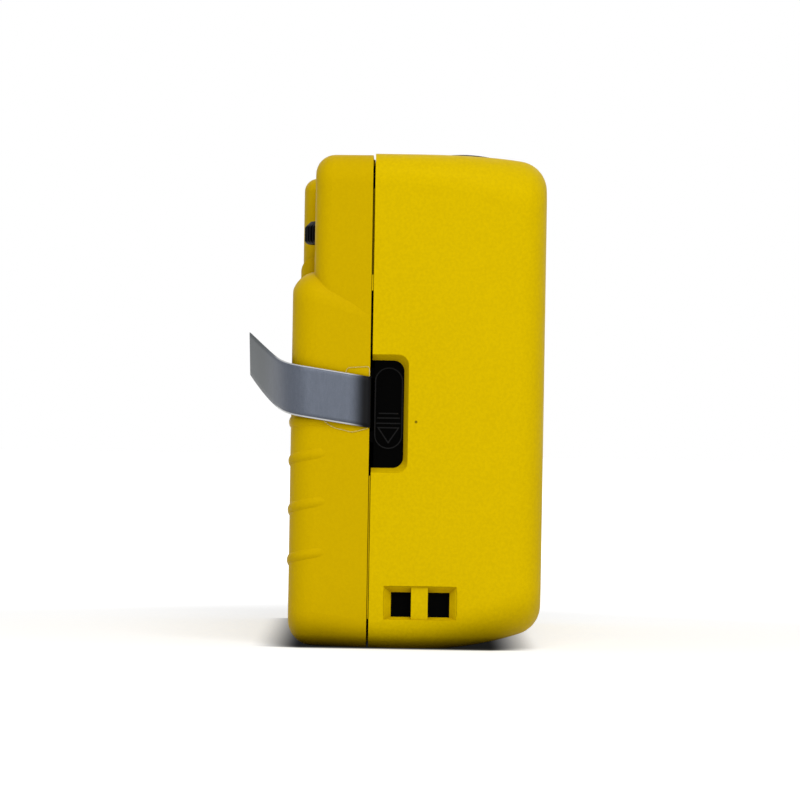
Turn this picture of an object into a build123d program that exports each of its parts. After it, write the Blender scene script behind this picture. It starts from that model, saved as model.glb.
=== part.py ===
from build123d import *
import math
import os

os.makedirs("parts", exist_ok=True)

# Frame: millimetres, +Z up, the lens looks along -Y, the origin is the centre of the flat base.
# The photographed side is the one at -X.
WIDTH = 116.0
HEIGHT = 65.0
FRONT_Y = -16.65
SEAM_Y = 6.15
BULGE_Y = 16.65
UPPER_Y = 13.85
SEAM_GAP = 0.3
WALL = 1.6
LINING_GAP = 0.35

# Optical axis and film path
LENS_X = 2.0
LENS_Z = 28.5
FILM_Y = 12.6
FILM_WIDTH = 35.0
GATE_WIDTH = 36.0
GATE_HEIGHT = 24.0

# Upright shafts: take-up spool with its thumbwheel, sprocket, counter dial, rewind shaft
SPOOL_X, SPOOL_Y = -41.0, 0.5
WHEEL_RADIUS = 14.9
WHEEL_Z0, WHEEL_Z1 = 53.2, 56.2
SPROCKET_X, SPROCKET_Y = -24.4, 6.6
SPROCKET_RADIUS = 5.9
PERFORATION_ROW = 14.1
DIAL_X, DIAL_Y = -22.0, -4.5
REWIND_X, REWIND_Y = 41.8, -0.5
CASSETTE_RADIUS = 12.5
CASSETTE_Z0, CASSETTE_Z1 = 5.5, 51.5
SHAFT_GAP = 0.08

# Radii of the shafts that turn in the chassis
SPOOL_FOOT, SPOOL_NECK, SPOOL_TIP = 2.0, 2.5, 1.7
SPROCKET_SHAFT = 1.5
DIAL_POST = 1.2
REWIND_SHAFT = 2.4
SPOOL_CORE = 4.2

# Decks of the film chassis
FLOOR_Z0, FLOOR_Z1 = 4.1, 5.1
DECK_Z0, DECK_Z1 = 51.9, 52.9
TOP_DECK_Z0, TOP_DECK_Z1 = 57.0, 58.0

# Controls
BUTTON_X, BUTTON_Y, BUTTON_RADIUS = -38.0, -5.65, 5.3
COUNTER_Y, COUNTER_RADIUS = -9.2, 2.9
LAMP_X, LAMP_Y, LAMP_RADIUS = 14.0, -5.0, 1.3
RELEASE_X, RELEASE_Y, RELEASE_RADIUS = -33.0, -4.0, 2.55
HINGE_X, HINGE_Y = 56.5, 7.65
FINDER_X, FINDER_Z = -1.0, 56.6
BATTERY_X, BATTERY_Y, BATTERY_Z = 0.5, -7.0, 7.5
BATTERY_RADIUS, BATTERY_LENGTH = 5.2, 44.0
LATCH_Z0, LATCH_Z1 = 22.9, 38.7

# Windows as x0, x1, z0, z1 with the rounding of their corners
FINDER_FRAME, FINDER_ROUND = (-7.4, 5.4, 52.2, 60.6), 1.2
FLASH_FRAME, FLASH_ROUND = (26.4, 49.6, 52.6, 61.4), 1.6
SWITCH_FRAME, SWITCH_ROUND = (28.9, 31.1, 34.0, 44.0), 1.0
EYE_FRAME, EYE_ROUND = (-5.6, 3.6, 53.2, 60.0), 1.4
FILM_FRAME, FILM_ROUND = (38.0, 46.0, 18.0, 40.0), 2.0
PANE_GAP = 0.05

# Spans along one axis that pass right through a wall of the case
ACROSS = (-60.0, 60.0)
THROUGH = (-20.0, 20.0)
FRONT_WALL = (-18.0, -12.0)
REAR_WALL = (12.0, 20.0)
TOP_WALL = (60.0, 67.0)
UPRIGHT = (0.0, 66.0)


def box(x0, x1, y0, y1, z0, z1):
    centre = Pos((x0 + x1) / 2, (y0 + y1) / 2, (z0 + z1) / 2)
    return centre * Box(x1 - x0, y1 - y0, z1 - z0)


def post(x, y, radius, z0, z1):
    return Pos(x, y, (z0 + z1) / 2) * Cylinder(radius, z1 - z0)


def barrel(x, z, radius, y0, y1):
    return Pos(x, (y0 + y1) / 2, z) * Rot(90, 0, 0) * Cylinder(radius, y1 - y0)


def bar(y, z, radius, x0, x1):
    return Pos((x0 + x1) / 2, y, z) * Rot(0, 90, 0) * Cylinder(radius, x1 - x0)


def pane(frame, radius, span, gap=0.0):
    """Upright block with rounded corners, a gap smaller all round than its frame."""
    x0, x1, z0, z1 = frame
    block = box(x0 + gap, x1 - gap, *span, z0 + gap, z1 - gap)
    return fillet(block.edges().filter_by(Axis.Y), radius - gap)


def upright_plane(x, y, z):
    """Plane that faces the front, its own Y along +Z."""
    return Plane(origin=(x, y, z), x_dir=(1, 0, 0), z_dir=(0, -1, 0))


def side_plane(x, z=0.0):
    """Plane across the camera, its own X along +Y and its own Y along +Z."""
    return Plane(origin=(x, 0, z), x_dir=(0, 1, 0), z_dir=(1, 0, 0))


def ring(y, width, low, high, low_radius, high_radius):
    """Rounded outline of the case in the plane normal to Y."""
    half = width / 2
    with BuildSketch(upright_plane(0, y, 0)) as outline:
        with BuildLine():
            Polyline((-half, low), (half, low), (half, high), (-half, high), close=True)
        make_face()
        corners = outline.vertices()
        middle = (low + high) / 2
        fillet([v for v in corners if v.Z < middle], low_radius)
        fillet([v for v in corners if v.Z > middle], high_radius)
    return outline.sketch.faces()[0]


def form(rings, end_y, end_radius):
    """Soft block lofted through outlines, its end edge rounded."""
    block = loft([ring(*r) for r in rings])
    rim = [
        e for e in block.edges()
        if abs(e.center().Y - end_y) < 0.01 and e.bounding_box().size.Y < 0.01
    ]
    return fillet(rim, end_radius)


LEAST_CORNER = 0.8


def inset(rings, gap, start_y, end_y):
    """The same outlines moved inward by a gap, with their first and last planes moved."""
    places = [start_y] + [r[0] for r in rings[1:-1]] + [end_y]
    inner = []
    for y, (_, width, low, high, low_radius, high_radius) in zip(places, rings):
        corners = [max(radius - gap, LEAST_CORNER) for radius in (low_radius, high_radius)]
        inner.append((y, width - 2 * gap, low + gap, high - gap, *corners))
    return inner


# Outer forms of the case: place along Y, width, lower edge, upper edge, lower and upper corners
FRONT_RINGS = [
    (SEAM_Y - SEAM_GAP / 2, WIDTH, -0.12, HEIGHT, 3.6, 4.4),
    (-3.0, WIDTH, -0.14, HEIGHT, 4.4, 5.2),
    (-9.5, 115.4, 0.78, 64.75, 5.4, 6.2),
    (FRONT_Y, 113.0, 2.95, 63.8, 6.6, 7.2),
]
UPPER_RINGS = [
    (SEAM_Y + SEAM_GAP / 2, WIDTH, -0.12, 64.8, 3.6, 4.4),
    (UPPER_Y, 113.4, -0.1, 64.8, 3.8, 4.6),
]
BULGE_RINGS = [
    (SEAM_Y + SEAM_GAP / 2, WIDTH, -0.12, 46.6, 3.6, 4.0),
    (BULGE_Y, 114.6, 0.1, 51.2, 5.0, 4.2),
]
FRONT_ROUND = 4.0
UPPER_ROUND = 2.6
BULGE_ROUND = 3.4
FRONT_INNER_ROUND, REAR_INNER_ROUND = 1.6, 0.7
SEAM_OVERLAP = 0.5


def lining(gap):
    """Space inside both shells, a gap away from their inner faces."""
    depth = WALL + gap
    ahead, behind = SEAM_Y + SEAM_OVERLAP, SEAM_Y - SEAM_OVERLAP
    front_y, upper_y, bulge_y = FRONT_Y + depth, UPPER_Y - depth, BULGE_Y - depth
    front = form(inset(FRONT_RINGS, depth, ahead, front_y), front_y, FRONT_INNER_ROUND)
    upper = form(inset(UPPER_RINGS, depth, behind, upper_y), upper_y, REAR_INNER_ROUND)
    bulge = form(inset(BULGE_RINGS, depth, behind, bulge_y), bulge_y, REAR_INNER_ROUND)
    return front, upper, bulge


FRONT_OUTER = form(FRONT_RINGS, FRONT_Y, FRONT_ROUND)
FRONT_INNER, UPPER_INNER, BULGE_INNER = lining(0.0)
FRONT_LINING, UPPER_LINING, BULGE_LINING = lining(LINING_GAP)


def above_base(shape):
    """Shell planed flat on the surface the camera stands on."""
    return shape - box(*ACROSS, *THROUGH, -2.0, 0.0)


# Front cover: pocket of the door latch
LATCH_MOUTH_X, LATCH_FLOOR_X = -58.3, -56.2
LATCH_MOUTH_Y, LATCH_FLOOR_Y, LATCH_OPEN_Y = 1.1, 1.85, 7.0
LATCH_SLOPE_LOW, LATCH_SLOPE_HIGH = 0.8, 1.0
LATCH_ROUND = 1.4


def latch_outline(x, z0, z1, front_y):
    """Outline of the pocket at one depth, rounded at its two front corners."""
    corners = [(front_y, z0), (LATCH_OPEN_Y, z0), (LATCH_OPEN_Y, z1), (front_y, z1)]
    face = make_face(Polyline(*corners, close=True).edges())
    front = face.vertices().sort_by(Axis.X)[:2]
    return (side_plane(x) * fillet(front, LATCH_ROUND)).faces()[0]


def latch_opening():
    """Pocket in the side wall with sloped walls, open toward the seam."""
    low, high = LATCH_Z0 + LATCH_SLOPE_LOW, LATCH_Z1 - LATCH_SLOPE_HIGH
    return loft([
        latch_outline(LATCH_MOUTH_X, LATCH_Z0, LATCH_Z1, LATCH_MOUTH_Y),
        latch_outline(LATCH_FLOOR_X, low, high, LATCH_FLOOR_Y),
    ])


# Front cover: strap lug
LUG_Z0, LUG_Z1 = 3.75, 8.2
LUG_BAR = (-1.75, 0.45)
LUG_POCKET = (-5.6, 4.1)
LUG_HOLES = ((0.45, 3.1), (-4.6, -1.75))
LUG_BAR_X = -57.75
LUG_MOUTH, LUG_FLOOR = (-58.0, -57.7), (-56.8, -56.2)
LUG_SLOPE_LOW, LUG_SLOPE_HIGH = 0.35, 0.85
LUG_ROUND = 0.9
CUP_BLOCK = (-56.6, -53.0, -6.0, 4.6, 2.9, 9.2)
CUP_HOLLOW = (-60.0, -54.0, -5.2, 3.8, 3.6, 8.4)


def lug_cuts():
    """Shallow rounded recess with a bar across it, and two sloped holes beside the bar."""
    y0, y1 = LUG_POCKET
    recess = box(ACROSS[0], LUG_BAR_X, y0, y1, LUG_Z0, LUG_Z1)
    cuts = [fillet(recess.edges().filter_by(Axis.X), LUG_ROUND)]
    low, high = LUG_Z0 + LUG_SLOPE_LOW, LUG_Z1 - LUG_SLOPE_HIGH
    for hole, mouth in zip(LUG_HOLES, ((LUG_BAR[1], y1), (y0, LUG_BAR[0]))):
        opening = box(*LUG_MOUTH, *mouth, LUG_Z0, LUG_Z1)
        floor = box(*LUG_FLOOR, *hole, low, high)
        slope = loft([shape.faces().sort_by(Axis.X)[0] for shape in (opening, floor)])
        cuts.append(slope + floor)
    return cuts


def lug_cup():
    """Black cup behind the strap bar, part of the film chassis."""
    return (box(*CUP_BLOCK) & FRONT_LINING) - box(*CUP_HOLLOW)


# Rear hinge of the camera
KNUCKLE_RADIUS, PIN_RADIUS = 1.5, 0.6
PIN_SPAN = (6.9, 59.9)
PIN_HOLE = (6.8, 60.0)
DOOR_PIN_HOLE = (10.0, 55.0)
COVER_KNUCKLES = ((6.0, 12.0), (24.4, 40.6), (53.0, 59.0))
DOOR_KNUCKLES = ((12.4, 24.0), (41.0, 52.6))
COVER_LEAF_Y, DOOR_LEAF_X, DOOR_LEAF_Y = 2.6, 57.9, 9.6
HINGE_RELIEF = (HINGE_X, HINGE_Y, 2.35, 4.4, 60.6)
KNUCKLE_CLEAR_RADIUS, KNUCKLE_CLEAR_END = 1.9, 0.35


def cover_knuckles():
    pieces = []
    for z0, z1 in COVER_KNUCKLES:
        pieces.append(post(HINGE_X, HINGE_Y, KNUCKLE_RADIUS, z0, z1))
        pieces.append(box(HINGE_X - 1.5, HINGE_X + 0.4, COVER_LEAF_Y, HINGE_Y, z0, z1))
    return pieces


def door_knuckles():
    pieces = []
    for z0, z1 in DOOR_KNUCKLES:
        pieces.append(post(HINGE_X, HINGE_Y, KNUCKLE_RADIUS, z0, z1))
        pieces.append(box(HINGE_X - 0.1, DOOR_LEAF_X, HINGE_Y, DOOR_LEAF_Y, z0, z1))
    return pieces


# Hinge of the battery lid
LID_PIN_Y, LID_PIN_Z, LID_PIN_RADIUS = -1.9, 0.9, 0.35
LID_PIN_SPAN = (-22.5, 23.5)
LID_KNUCKLE = 0.75
LID_LUGS = ((-25.4, -22.3), (-13.7, -4.3), (5.3, 14.7), (23.3, 26.4))
LID_KNUCKLES = ((-22.0, -14.0), (-4.0, 5.0), (15.0, 23.0))
LID_LUG_REAR = -0.6
LID_LUG_Z = (0.15, 1.6)
LID_OPENING = (-25.3, 26.3, -12.5, -0.7, -1.0, 3.6)
LID_TILT = 6.5


def battery_lugs():
    """Hinge lugs of the battery lid, on the rear edge of its opening."""
    pieces = []
    for span in LID_LUGS:
        pieces.append(bar(LID_PIN_Y, LID_PIN_Z, LID_KNUCKLE, *span))
        pieces.append(box(*span, LID_PIN_Y, LID_LUG_REAR, *LID_LUG_Z))
    return pieces


# Front cover: well of the rewind crank, screw bosses and openings
WELL_RADIUS, WELL_WALL = 8.7, 1.0
WELL_UNDER_Z, WELL_FLOOR_Z, WELL_RIM_Z = 60.4, 61.5, 64.85
BUSH_RADIUS = 3.3
SCREW_PLACES = ((-19.6, 48.6), (24.6, 48.6), (-12.0, 16.2), (24.6, 16.2))
SCREW_RADIUS, BOSS_RADIUS = 0.8, 1.9
BOSS_SPAN, BOSS_HOLE = (-15.2, -0.1), (-8.0, 0.5)
LENS_RECESS, LENS_RECESS_DEPTH = 12.6, 3.0
LAMP_HOLE = (LAMP_RADIUS + 0.1, 62.0, 66.0)
BUTTON_GAP = 0.25
RELEASE_HOLE = (2.9, -1.0, 2.2)


def rewind_well():
    return [
        post(REWIND_X, REWIND_Y, WELL_RADIUS, WELL_FLOOR_Z, TOP_WALL[1]),
        post(REWIND_X, REWIND_Y, BUSH_RADIUS + SHAFT_GAP, *TOP_WALL),
    ]


def front_openings():
    """Holes of the front and top walls for the windows, the lens and the controls."""
    return [
        barrel(LENS_X, LENS_Z, LENS_RECESS, FRONT_WALL[0], FRONT_Y + LENS_RECESS_DEPTH),
        pane(FINDER_FRAME, FINDER_ROUND, FRONT_WALL),
        pane(FLASH_FRAME, FLASH_ROUND, FRONT_WALL),
        pane(SWITCH_FRAME, SWITCH_ROUND, FRONT_WALL),
        post(LAMP_X, LAMP_Y, *LAMP_HOLE),
        post(BUTTON_X, BUTTON_Y, BUTTON_RADIUS + BUTTON_GAP, *TOP_WALL),
        post(DIAL_X, COUNTER_Y, COUNTER_RADIUS, *TOP_WALL),
        post(RELEASE_X, RELEASE_Y, *RELEASE_HOLE),
    ]


def make_front_cover():
    cup = post(REWIND_X, REWIND_Y, WELL_RADIUS + WELL_WALL, WELL_UNDER_Z, WELL_RIM_Z)
    cover = FRONT_OUTER - FRONT_INNER + cup
    cover = cover - rewind_well()
    cover = cover + [barrel(x, z, BOSS_RADIUS, *BOSS_SPAN) for x, z in SCREW_PLACES]
    cover = cover - [barrel(x, z, SCREW_RADIUS, *BOSS_HOLE) for x, z in SCREW_PLACES]
    cover = cover - front_openings() - latch_opening() - lug_cuts() - box(*LID_OPENING)
    cover = cover + battery_lugs()
    cover = cover - bar(LID_PIN_Y, LID_PIN_Z, LID_PIN_RADIUS, *LID_PIN_SPAN)
    cover = above_base(cover - post(*HINGE_RELIEF) + cover_knuckles())
    return cover - post(HINGE_X, HINGE_Y, PIN_RADIUS, *PIN_HOLE)


# Rear cover: grip ridges, each with its height behind and at the side
RIDGES = ((29.4, 29.7), (24.1, 25.7), (17.6, 19.4), (11.0, 12.7))
RIDGE_CORE = 1.2
RIDGE_PROUD = 0.2
RIDGE_CORNER_X = -54.12
RIDGE_TURNS = (95, 115, 135, 155, 175)
RIDGE_START = [(-49.5, 15.3), (-52.0, 15.65)]
RIDGE_END = [(-56.4, 11.9), (-56.1, 10.0)]


def grip_ridge(rear_z, side_z):
    """Low soft ridge round the rear edge of the bulge, rising toward the seam."""
    centre_y = BULGE_Y - BULGE_ROUND
    reach = BULGE_ROUND - RIDGE_CORE + RIDGE_PROUD
    corner = []
    for turn in RIDGE_TURNS:
        angle = math.radians(turn)
        corner.append((RIDGE_CORNER_X + reach * math.cos(angle), centre_y + reach * math.sin(angle)))
    route = RIDGE_START + corner + RIDGE_END
    rise = (side_z - rear_z) / (len(route) - 1)
    path = Spline(*[(x, y, rear_z + rise * i) for i, (x, y) in enumerate(route)])
    return sweep(Plane(origin=path @ 0, z_dir=path % 0) * Circle(RIDGE_CORE), path=path)


# Rear cover: raised blocks
EYE_BLOCK = (-15.0, 13.0, 8.0, 15.9, 48.2, 62.9)
EYE_BLOCK_SIDES, EYE_BLOCK_TOP = 2.4, 1.8
GATE_BLOCK = (-23.0, 29.0, 7.0, 16.1, 42.0, 51.9)
GATE_BLOCK_ROUND = 2.0
BLOCK_REAR_Y = 12.0


def eyepiece_block():
    block = box(*EYE_BLOCK)
    sides = block.edges().filter_by(Axis.Z).sort_by(Axis.Y)[-2:]
    block = fillet(sides, EYE_BLOCK_SIDES)
    top = [e for e in block.edges() if abs(e.center().Z - EYE_BLOCK[5]) < 0.01]
    return fillet([e for e in top if e.center().Y > BLOCK_REAR_Y], EYE_BLOCK_TOP)


def gate_block():
    """Raised step over the film gate, between the bulge and the eyepiece."""
    block = box(*GATE_BLOCK)
    upper = [e for e in block.edges() if e.center().Z > (GATE_BLOCK[4] + GATE_BLOCK[5]) / 2 - 1.0]
    return fillet([e for e in upper if e.center().Y > BLOCK_REAR_Y], GATE_BLOCK_ROUND)


def door_outer():
    upper = form(UPPER_RINGS, UPPER_Y, UPPER_ROUND)
    bulge = form(BULGE_RINGS, BULGE_Y, BULGE_ROUND)
    whole = upper + bulge + gate_block() + eyepiece_block()
    for rear_z, side_z in RIDGES:
        whole = whole + grip_ridge(rear_z, side_z)
    return whole


# Rear cover: openings, latch catches and cassette ribs
GATE_HOLLOW = (-21.4, 27.4, 6.0, 13.7, 40.0, 49.3)
WHEEL_OPENING = (-54.2, -27.8, 6.0, 20.0, 52.7, 56.7)
EYE_TUNNEL = (5.0, 20.0)
WELL_CLEAR = 1.35
HINGE_EDGE = (54.6, 60.0, 5.0, 8.6, 1.2, 63.5)
CATCH_X, CATCH_Y, CATCH_HEIGHT = (-56.8, -55.2), (7.0, 8.2), 1.6
CATCH_PLACES = (29.9, 38.3)
CASSETTE_RIB = (38.0, 51.0, 11.2, 15.3)
RIB_PLACES = (12.0, 28.5, 45.0)
RIB_HALF = 0.6
CASSETTE_GAP = 0.5


def cassette_ribs():
    """Ribs that hold the cassette, hollowed to its round wall."""
    space = post(REWIND_X, REWIND_Y, CASSETTE_RADIUS + CASSETTE_GAP, *UPRIGHT)
    return [box(*CASSETTE_RIB, z - RIB_HALF, z + RIB_HALF) - space for z in RIB_PLACES]


def make_rear_cover():
    door = above_base(door_outer() - UPPER_INNER - BULGE_INNER)
    door = door - box(*GATE_HOLLOW) - box(*WHEEL_OPENING)
    door = door - pane(EYE_FRAME, EYE_ROUND, EYE_TUNNEL)
    door = door - pane(FILM_FRAME, FILM_ROUND, REAR_WALL)
    door = door - post(REWIND_X, REWIND_Y, WELL_RADIUS + WELL_CLEAR, *TOP_WALL)
    door = door - box(*HINGE_EDGE)
    end = KNUCKLE_CLEAR_END
    clear = [
        post(HINGE_X, HINGE_Y, KNUCKLE_CLEAR_RADIUS, z0 - end, z1 + end)
        for z0, z1 in COVER_KNUCKLES
    ]
    door = door - clear + door_knuckles()
    door = door + [box(*CATCH_X, *CATCH_Y, z, z + CATCH_HEIGHT) for z in CATCH_PLACES]
    door = door + cassette_ribs()
    door = door - pane(FILM_FRAME, FILM_ROUND, (10.0, REAR_WALL[1]))
    return door - post(HINGE_X, HINGE_Y, PIN_RADIUS + SHAFT_GAP, *DOOR_PIN_HOLE)


# Film chassis: rim, decks and troughs
RIM_FRONT_Y, RIM_REAR_Y = 3.2, 8.0
RIM_THICKNESS = 1.2
TROUGH_WALL = 1.1
SPOOL_TROUGH = (SPOOL_X, SPOOL_Y, 11.0, 5.5)
CASSETTE_TROUGH = (REWIND_X, REWIND_Y, CASSETTE_RADIUS + CASSETTE_GAP, 6.0)
MAIN_DECK = (-57.0, 57.0, -14.4, 8.0)
TOP_DECK = (-55.0, -10.0, -12.6, 8.0)
BULKHEAD = (-29.2, 28.3, 0.0, 1.2, FLOOR_Z0, DECK_Z1)
PILLARS = ((-28.0, -12.0), (-17.5, 4.6), (-14.0, -8.0), (-53.4, -10.6))
PILLAR_RADIUS, PILLAR_SUNK = 1.6, 0.2


def chassis_rim():
    """Black band behind the seam all round, which keeps light out."""
    thin_front, thin_upper, _ = lining(LINING_GAP + RIM_THICKNESS)
    front = (FRONT_LINING - thin_front) & box(*ACROSS, RIM_FRONT_Y, SEAM_Y, *UPRIGHT)
    rear = (UPPER_LINING - thin_upper) & box(*ACROSS, SEAM_Y, RIM_REAR_Y, *UPRIGHT)
    return front + rear


def deck(x0, x1, y0, y1, z0, z1):
    plate = box(x0, x1, y0, y1, z0, z1)
    return (plate & FRONT_LINING) + (plate & UPPER_LINING)


def trough(x, y, radius, end_y):
    wall = post(x, y, radius + TROUGH_WALL, FLOOR_Z0, DECK_Z1) - post(x, y, radius, *UPRIGHT)
    return wall & box(*ACROSS, THROUGH[0], end_y, *UPRIGHT) & FRONT_LINING


def pillar(x, y):
    """Round support between the main deck and the top deck."""
    return post(x, y, PILLAR_RADIUS, DECK_Z1 - PILLAR_SUNK, TOP_DECK_Z0 + PILLAR_SUNK)


# Film chassis: film gate
GATE_X, GATE_Z = (-18.2, 22.6), (9.0, 48.0)
GATE_PLATE_Y, GATE_CUT_Y, GATE_RAIL_Y, GATE_WALL_Y = (10.9, 12.4), (10.0, 13.0), (12.3, 13.0), (0.6, 11.5)
GATE_WALL = 1.0
RAIL_PLACE, RAIL_HALF = 18.2, 0.5


def film_gate():
    """Plate with the picture opening, two film rails and the walls that carry it."""
    half_w, half_h = GATE_WIDTH / 2, GATE_HEIGHT / 2
    picture = (LENS_X - half_w, LENS_X + half_w, *GATE_CUT_Y, LENS_Z - half_h, LENS_Z + half_h)
    gate = box(*GATE_X, *GATE_PLATE_Y, *GATE_Z) - box(*picture)
    for z in (LENS_Z - RAIL_PLACE, LENS_Z + RAIL_PLACE):
        gate = gate + box(*GATE_X, *GATE_RAIL_Y, z - RAIL_HALF, z + RAIL_HALF)
    for z in (GATE_Z[0], GATE_Z[1] - GATE_WALL):
        gate = gate + box(*GATE_X, *GATE_WALL_Y, z, z + GATE_WALL)
    return gate + box(GATE_X[1] - GATE_WALL, GATE_X[1], *GATE_WALL_Y, *GATE_Z)


# Film chassis: battery bay
BAY_X = (-25.8, 26.8)
BAY_ROOF_Y, BAY_END_Y = (-11.4, 0.6), (-12.0, 0.6)
BAY_Z0, BAY_ROOF_Z, BAY_Z1 = 3.4, 13.0, 13.9
BAY_WALL = 0.9


def battery_bay():
    roof = box(*BAY_X, *BAY_ROOF_Y, BAY_ROOF_Z, BAY_Z1)
    ends = [
        box(x, x + BAY_WALL, *BAY_END_Y, BAY_Z0, BAY_Z1)
        for x in (BAY_X[0], BAY_X[1] - BAY_WALL)
    ]
    return ends + [roof]


# Cone of light behind the lens
CONE_TIP_Y = -16.3


def baffle_block(margin, y0, y1):
    """Pyramid of light between the lens and the gate, widened by a margin."""
    faces = []
    for y in (y0, y1):
        share = (y - CONE_TIP_Y) / (FILM_Y - CONE_TIP_Y)
        width = GATE_WIDTH * share + 2 * margin
        height = GATE_HEIGHT * share + 2 * margin
        faces.append((upright_plane(LENS_X, y, LENS_Z) * Rectangle(width, height)).faces()[0])
    return loft(faces)


# Film chassis: spaces for what passes through it or moves beside it
BATTERY_SPACE = (-25.0, 25.9, -13.2, -0.01, 0.0, 13.0)
FINDER_SPACE = (-8.3, 6.3, -16.0, 12.0, 51.0, 62.0)
WHEEL_SPACE = (-57.0, -54.2, 1.8, 10.0, 52.7, 56.7)
LATCH_SPACE = (-57.0, -54.4, -0.5, 8.8, 17.4, 48.0)
HINGE_SPACE = (53.9, 58.0, 2.3, 9.4, 1.0, 63.5)
HINGE_CORNER = (46.5, 58.0, 2.3, 9.4, 61.0, 66.0)
LUG_SPACE = (-58.0, -53.0, -6.0, 4.6, 2.9, 9.2)
ROD_SPACE = (-31.6, -27.4, -16.0, -13.2, 50.0, 54.0)
SPROCKET_CLEAR = (7.7, 10.6, 46.6)
BAFFLE_CLEAR = (1.75, -9.0, 10.5)
FORK_RADIUS = 4.7
FLOOR_CUT, DECK_CUT, TOP_DECK_CUT = (1.0, 6.0), (51.0, 54.0), (55.0, 60.0)
SCREW_CUT = (-0.5, 1.5)


def shaft_holes():
    """Bearings of the upright shafts in the three decks."""
    return [
        post(SPOOL_X, SPOOL_Y, SPOOL_TIP + SHAFT_GAP, *TOP_DECK_CUT),
        post(SPROCKET_X, SPROCKET_Y, SPROCKET_SHAFT + SHAFT_GAP, *TOP_DECK_CUT),
        post(SPOOL_X, SPOOL_Y, SPOOL_FOOT + SHAFT_GAP, *FLOOR_CUT),
        post(SPOOL_X, SPOOL_Y, SPOOL_NECK + SHAFT_GAP, *DECK_CUT),
        post(SPROCKET_X, SPROCKET_Y, SPROCKET_SHAFT + SHAFT_GAP, 3.0, DECK_CUT[1]),
        post(REWIND_X, REWIND_Y, FORK_RADIUS, *FLOOR_CUT),
        post(REWIND_X, REWIND_Y, FORK_RADIUS, *DECK_CUT),
    ]


def make_chassis():
    frame = chassis_rim()
    frame = frame + deck(*MAIN_DECK, FLOOR_Z0, FLOOR_Z1) + deck(*MAIN_DECK, DECK_Z0, DECK_Z1)
    frame = frame + deck(*TOP_DECK, TOP_DECK_Z0, TOP_DECK_Z1)
    frame = frame + trough(*SPOOL_TROUGH) + trough(*CASSETTE_TROUGH) + box(*BULKHEAD)
    frame = frame + [pillar(x, y) for x, y in PILLARS]
    frame = frame - box(*BATTERY_SPACE) - baffle_block(*BAFFLE_CLEAR)
    frame = frame + battery_bay() + film_gate()
    frame = frame - box(*FINDER_SPACE) - post(SPROCKET_X, SPROCKET_Y, *SPROCKET_CLEAR)
    frame = frame - shaft_holes()
    frame = frame - post(REWIND_X, REWIND_Y, WELL_RADIUS + WELL_CLEAR, *TOP_WALL)
    for space in (WHEEL_SPACE, LATCH_SPACE, HINGE_SPACE, HINGE_CORNER, LUG_SPACE):
        frame = frame - box(*space)
    frame = frame + lug_cup() - box(*ROD_SPACE)
    frame = frame + post(DIAL_X, DIAL_Y, DIAL_POST, TOP_DECK_Z1 - PILLAR_SUNK, 61.2)
    return frame - [barrel(x, z, SCREW_RADIUS, *SCREW_CUT) for x, z in SCREW_PLACES]


# Light baffle
BAFFLE_OUTER, BAFFLE_INNER = (1.4, -10.2, 10.8), (0.5, -12.0, 12.0)
STEP_PLACES, STEP_THICKNESS = (-4.0, 3.0), 0.6


def make_light_baffle():
    """Pyramid with two inner steps that catch stray light."""
    shell = baffle_block(*BAFFLE_OUTER) - baffle_block(*BAFFLE_INNER)
    for y in STEP_PLACES:
        step = baffle_block(1.0, y, y + STEP_THICKNESS)
        shell = shell + (step - baffle_block(0.1, y - 1.0, y + STEP_THICKNESS + 1.0))
    return shell


# Film transport
WHEEL_TEETH, WHEEL_TOOTH_TIP, WHEEL_TOOTH_ROOT = 80, 0.08, 0.35
WHEEL_CHAMFER, WHEEL_FILLET = 0.75, 0.6
WHEEL_GROOVE = (55.4, 57.0)
WHEEL_GROOVE_OUTER, WHEEL_GROOVE_INNER = 12.6, 4.2
WHEEL_SPOTS, WHEEL_SPOT_RADIUS, WHEEL_SPOT_REACH = 6, 1.9, 8.4


def disc_outline(x, y, outer, inner, count):
    """Closed outline of a ring of pointed teeth."""
    points = []
    for i in range(count):
        for share, radius in ((0.0, outer), (0.5, inner)):
            angle = 2 * math.pi * (i + share) / count
            points.append((x + radius * math.cos(angle), y + radius * math.sin(angle)))
    return make_face(Polyline(*points, close=True).edges())


def toothed_disc(x, y, outer, inner, count, z0, z1):
    return extrude(Pos(0, 0, z0) * disc_outline(x, y, outer, inner, count), z1 - z0)


def make_thumbwheel():
    tip, root = WHEEL_RADIUS + WHEEL_TOOTH_TIP, WHEEL_RADIUS - WHEEL_TOOTH_ROOT
    teeth = toothed_disc(SPOOL_X, SPOOL_Y, tip, root, WHEEL_TEETH, WHEEL_Z0 - 0.5, WHEEL_Z1 + 0.5)
    blank = Cylinder(WHEEL_RADIUS, WHEEL_Z1 - WHEEL_Z0)
    blank = chamfer(blank.edges().sort_by(Axis.Z)[-1], WHEEL_CHAMFER)
    blank = fillet(blank.edges().sort_by(Axis.Z)[0], WHEEL_FILLET)
    middle = (WHEEL_Z0 + WHEEL_Z1) / 2
    wheel = teeth & (Pos(SPOOL_X, SPOOL_Y, middle) * blank)
    hub = post(SPOOL_X, SPOOL_Y, WHEEL_GROOVE_INNER, *WHEEL_GROOVE)
    wheel = wheel - (post(SPOOL_X, SPOOL_Y, WHEEL_GROOVE_OUTER, *WHEEL_GROOVE) - hub)
    wheel = wheel - post(SPOOL_X, SPOOL_Y, SPOOL_NECK, WHEEL_Z0 - 1.0, WHEEL_Z1 + 1.0)
    for i in range(WHEEL_SPOTS):
        turn = Pos(SPOOL_X, SPOOL_Y, middle) * Rot(0, 0, 360 / WHEEL_SPOTS * i)
        wheel = wheel - turn * Pos(WHEEL_SPOT_REACH, 0, 0) * Cylinder(WHEEL_SPOT_RADIUS, 4.0)
    return wheel


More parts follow.
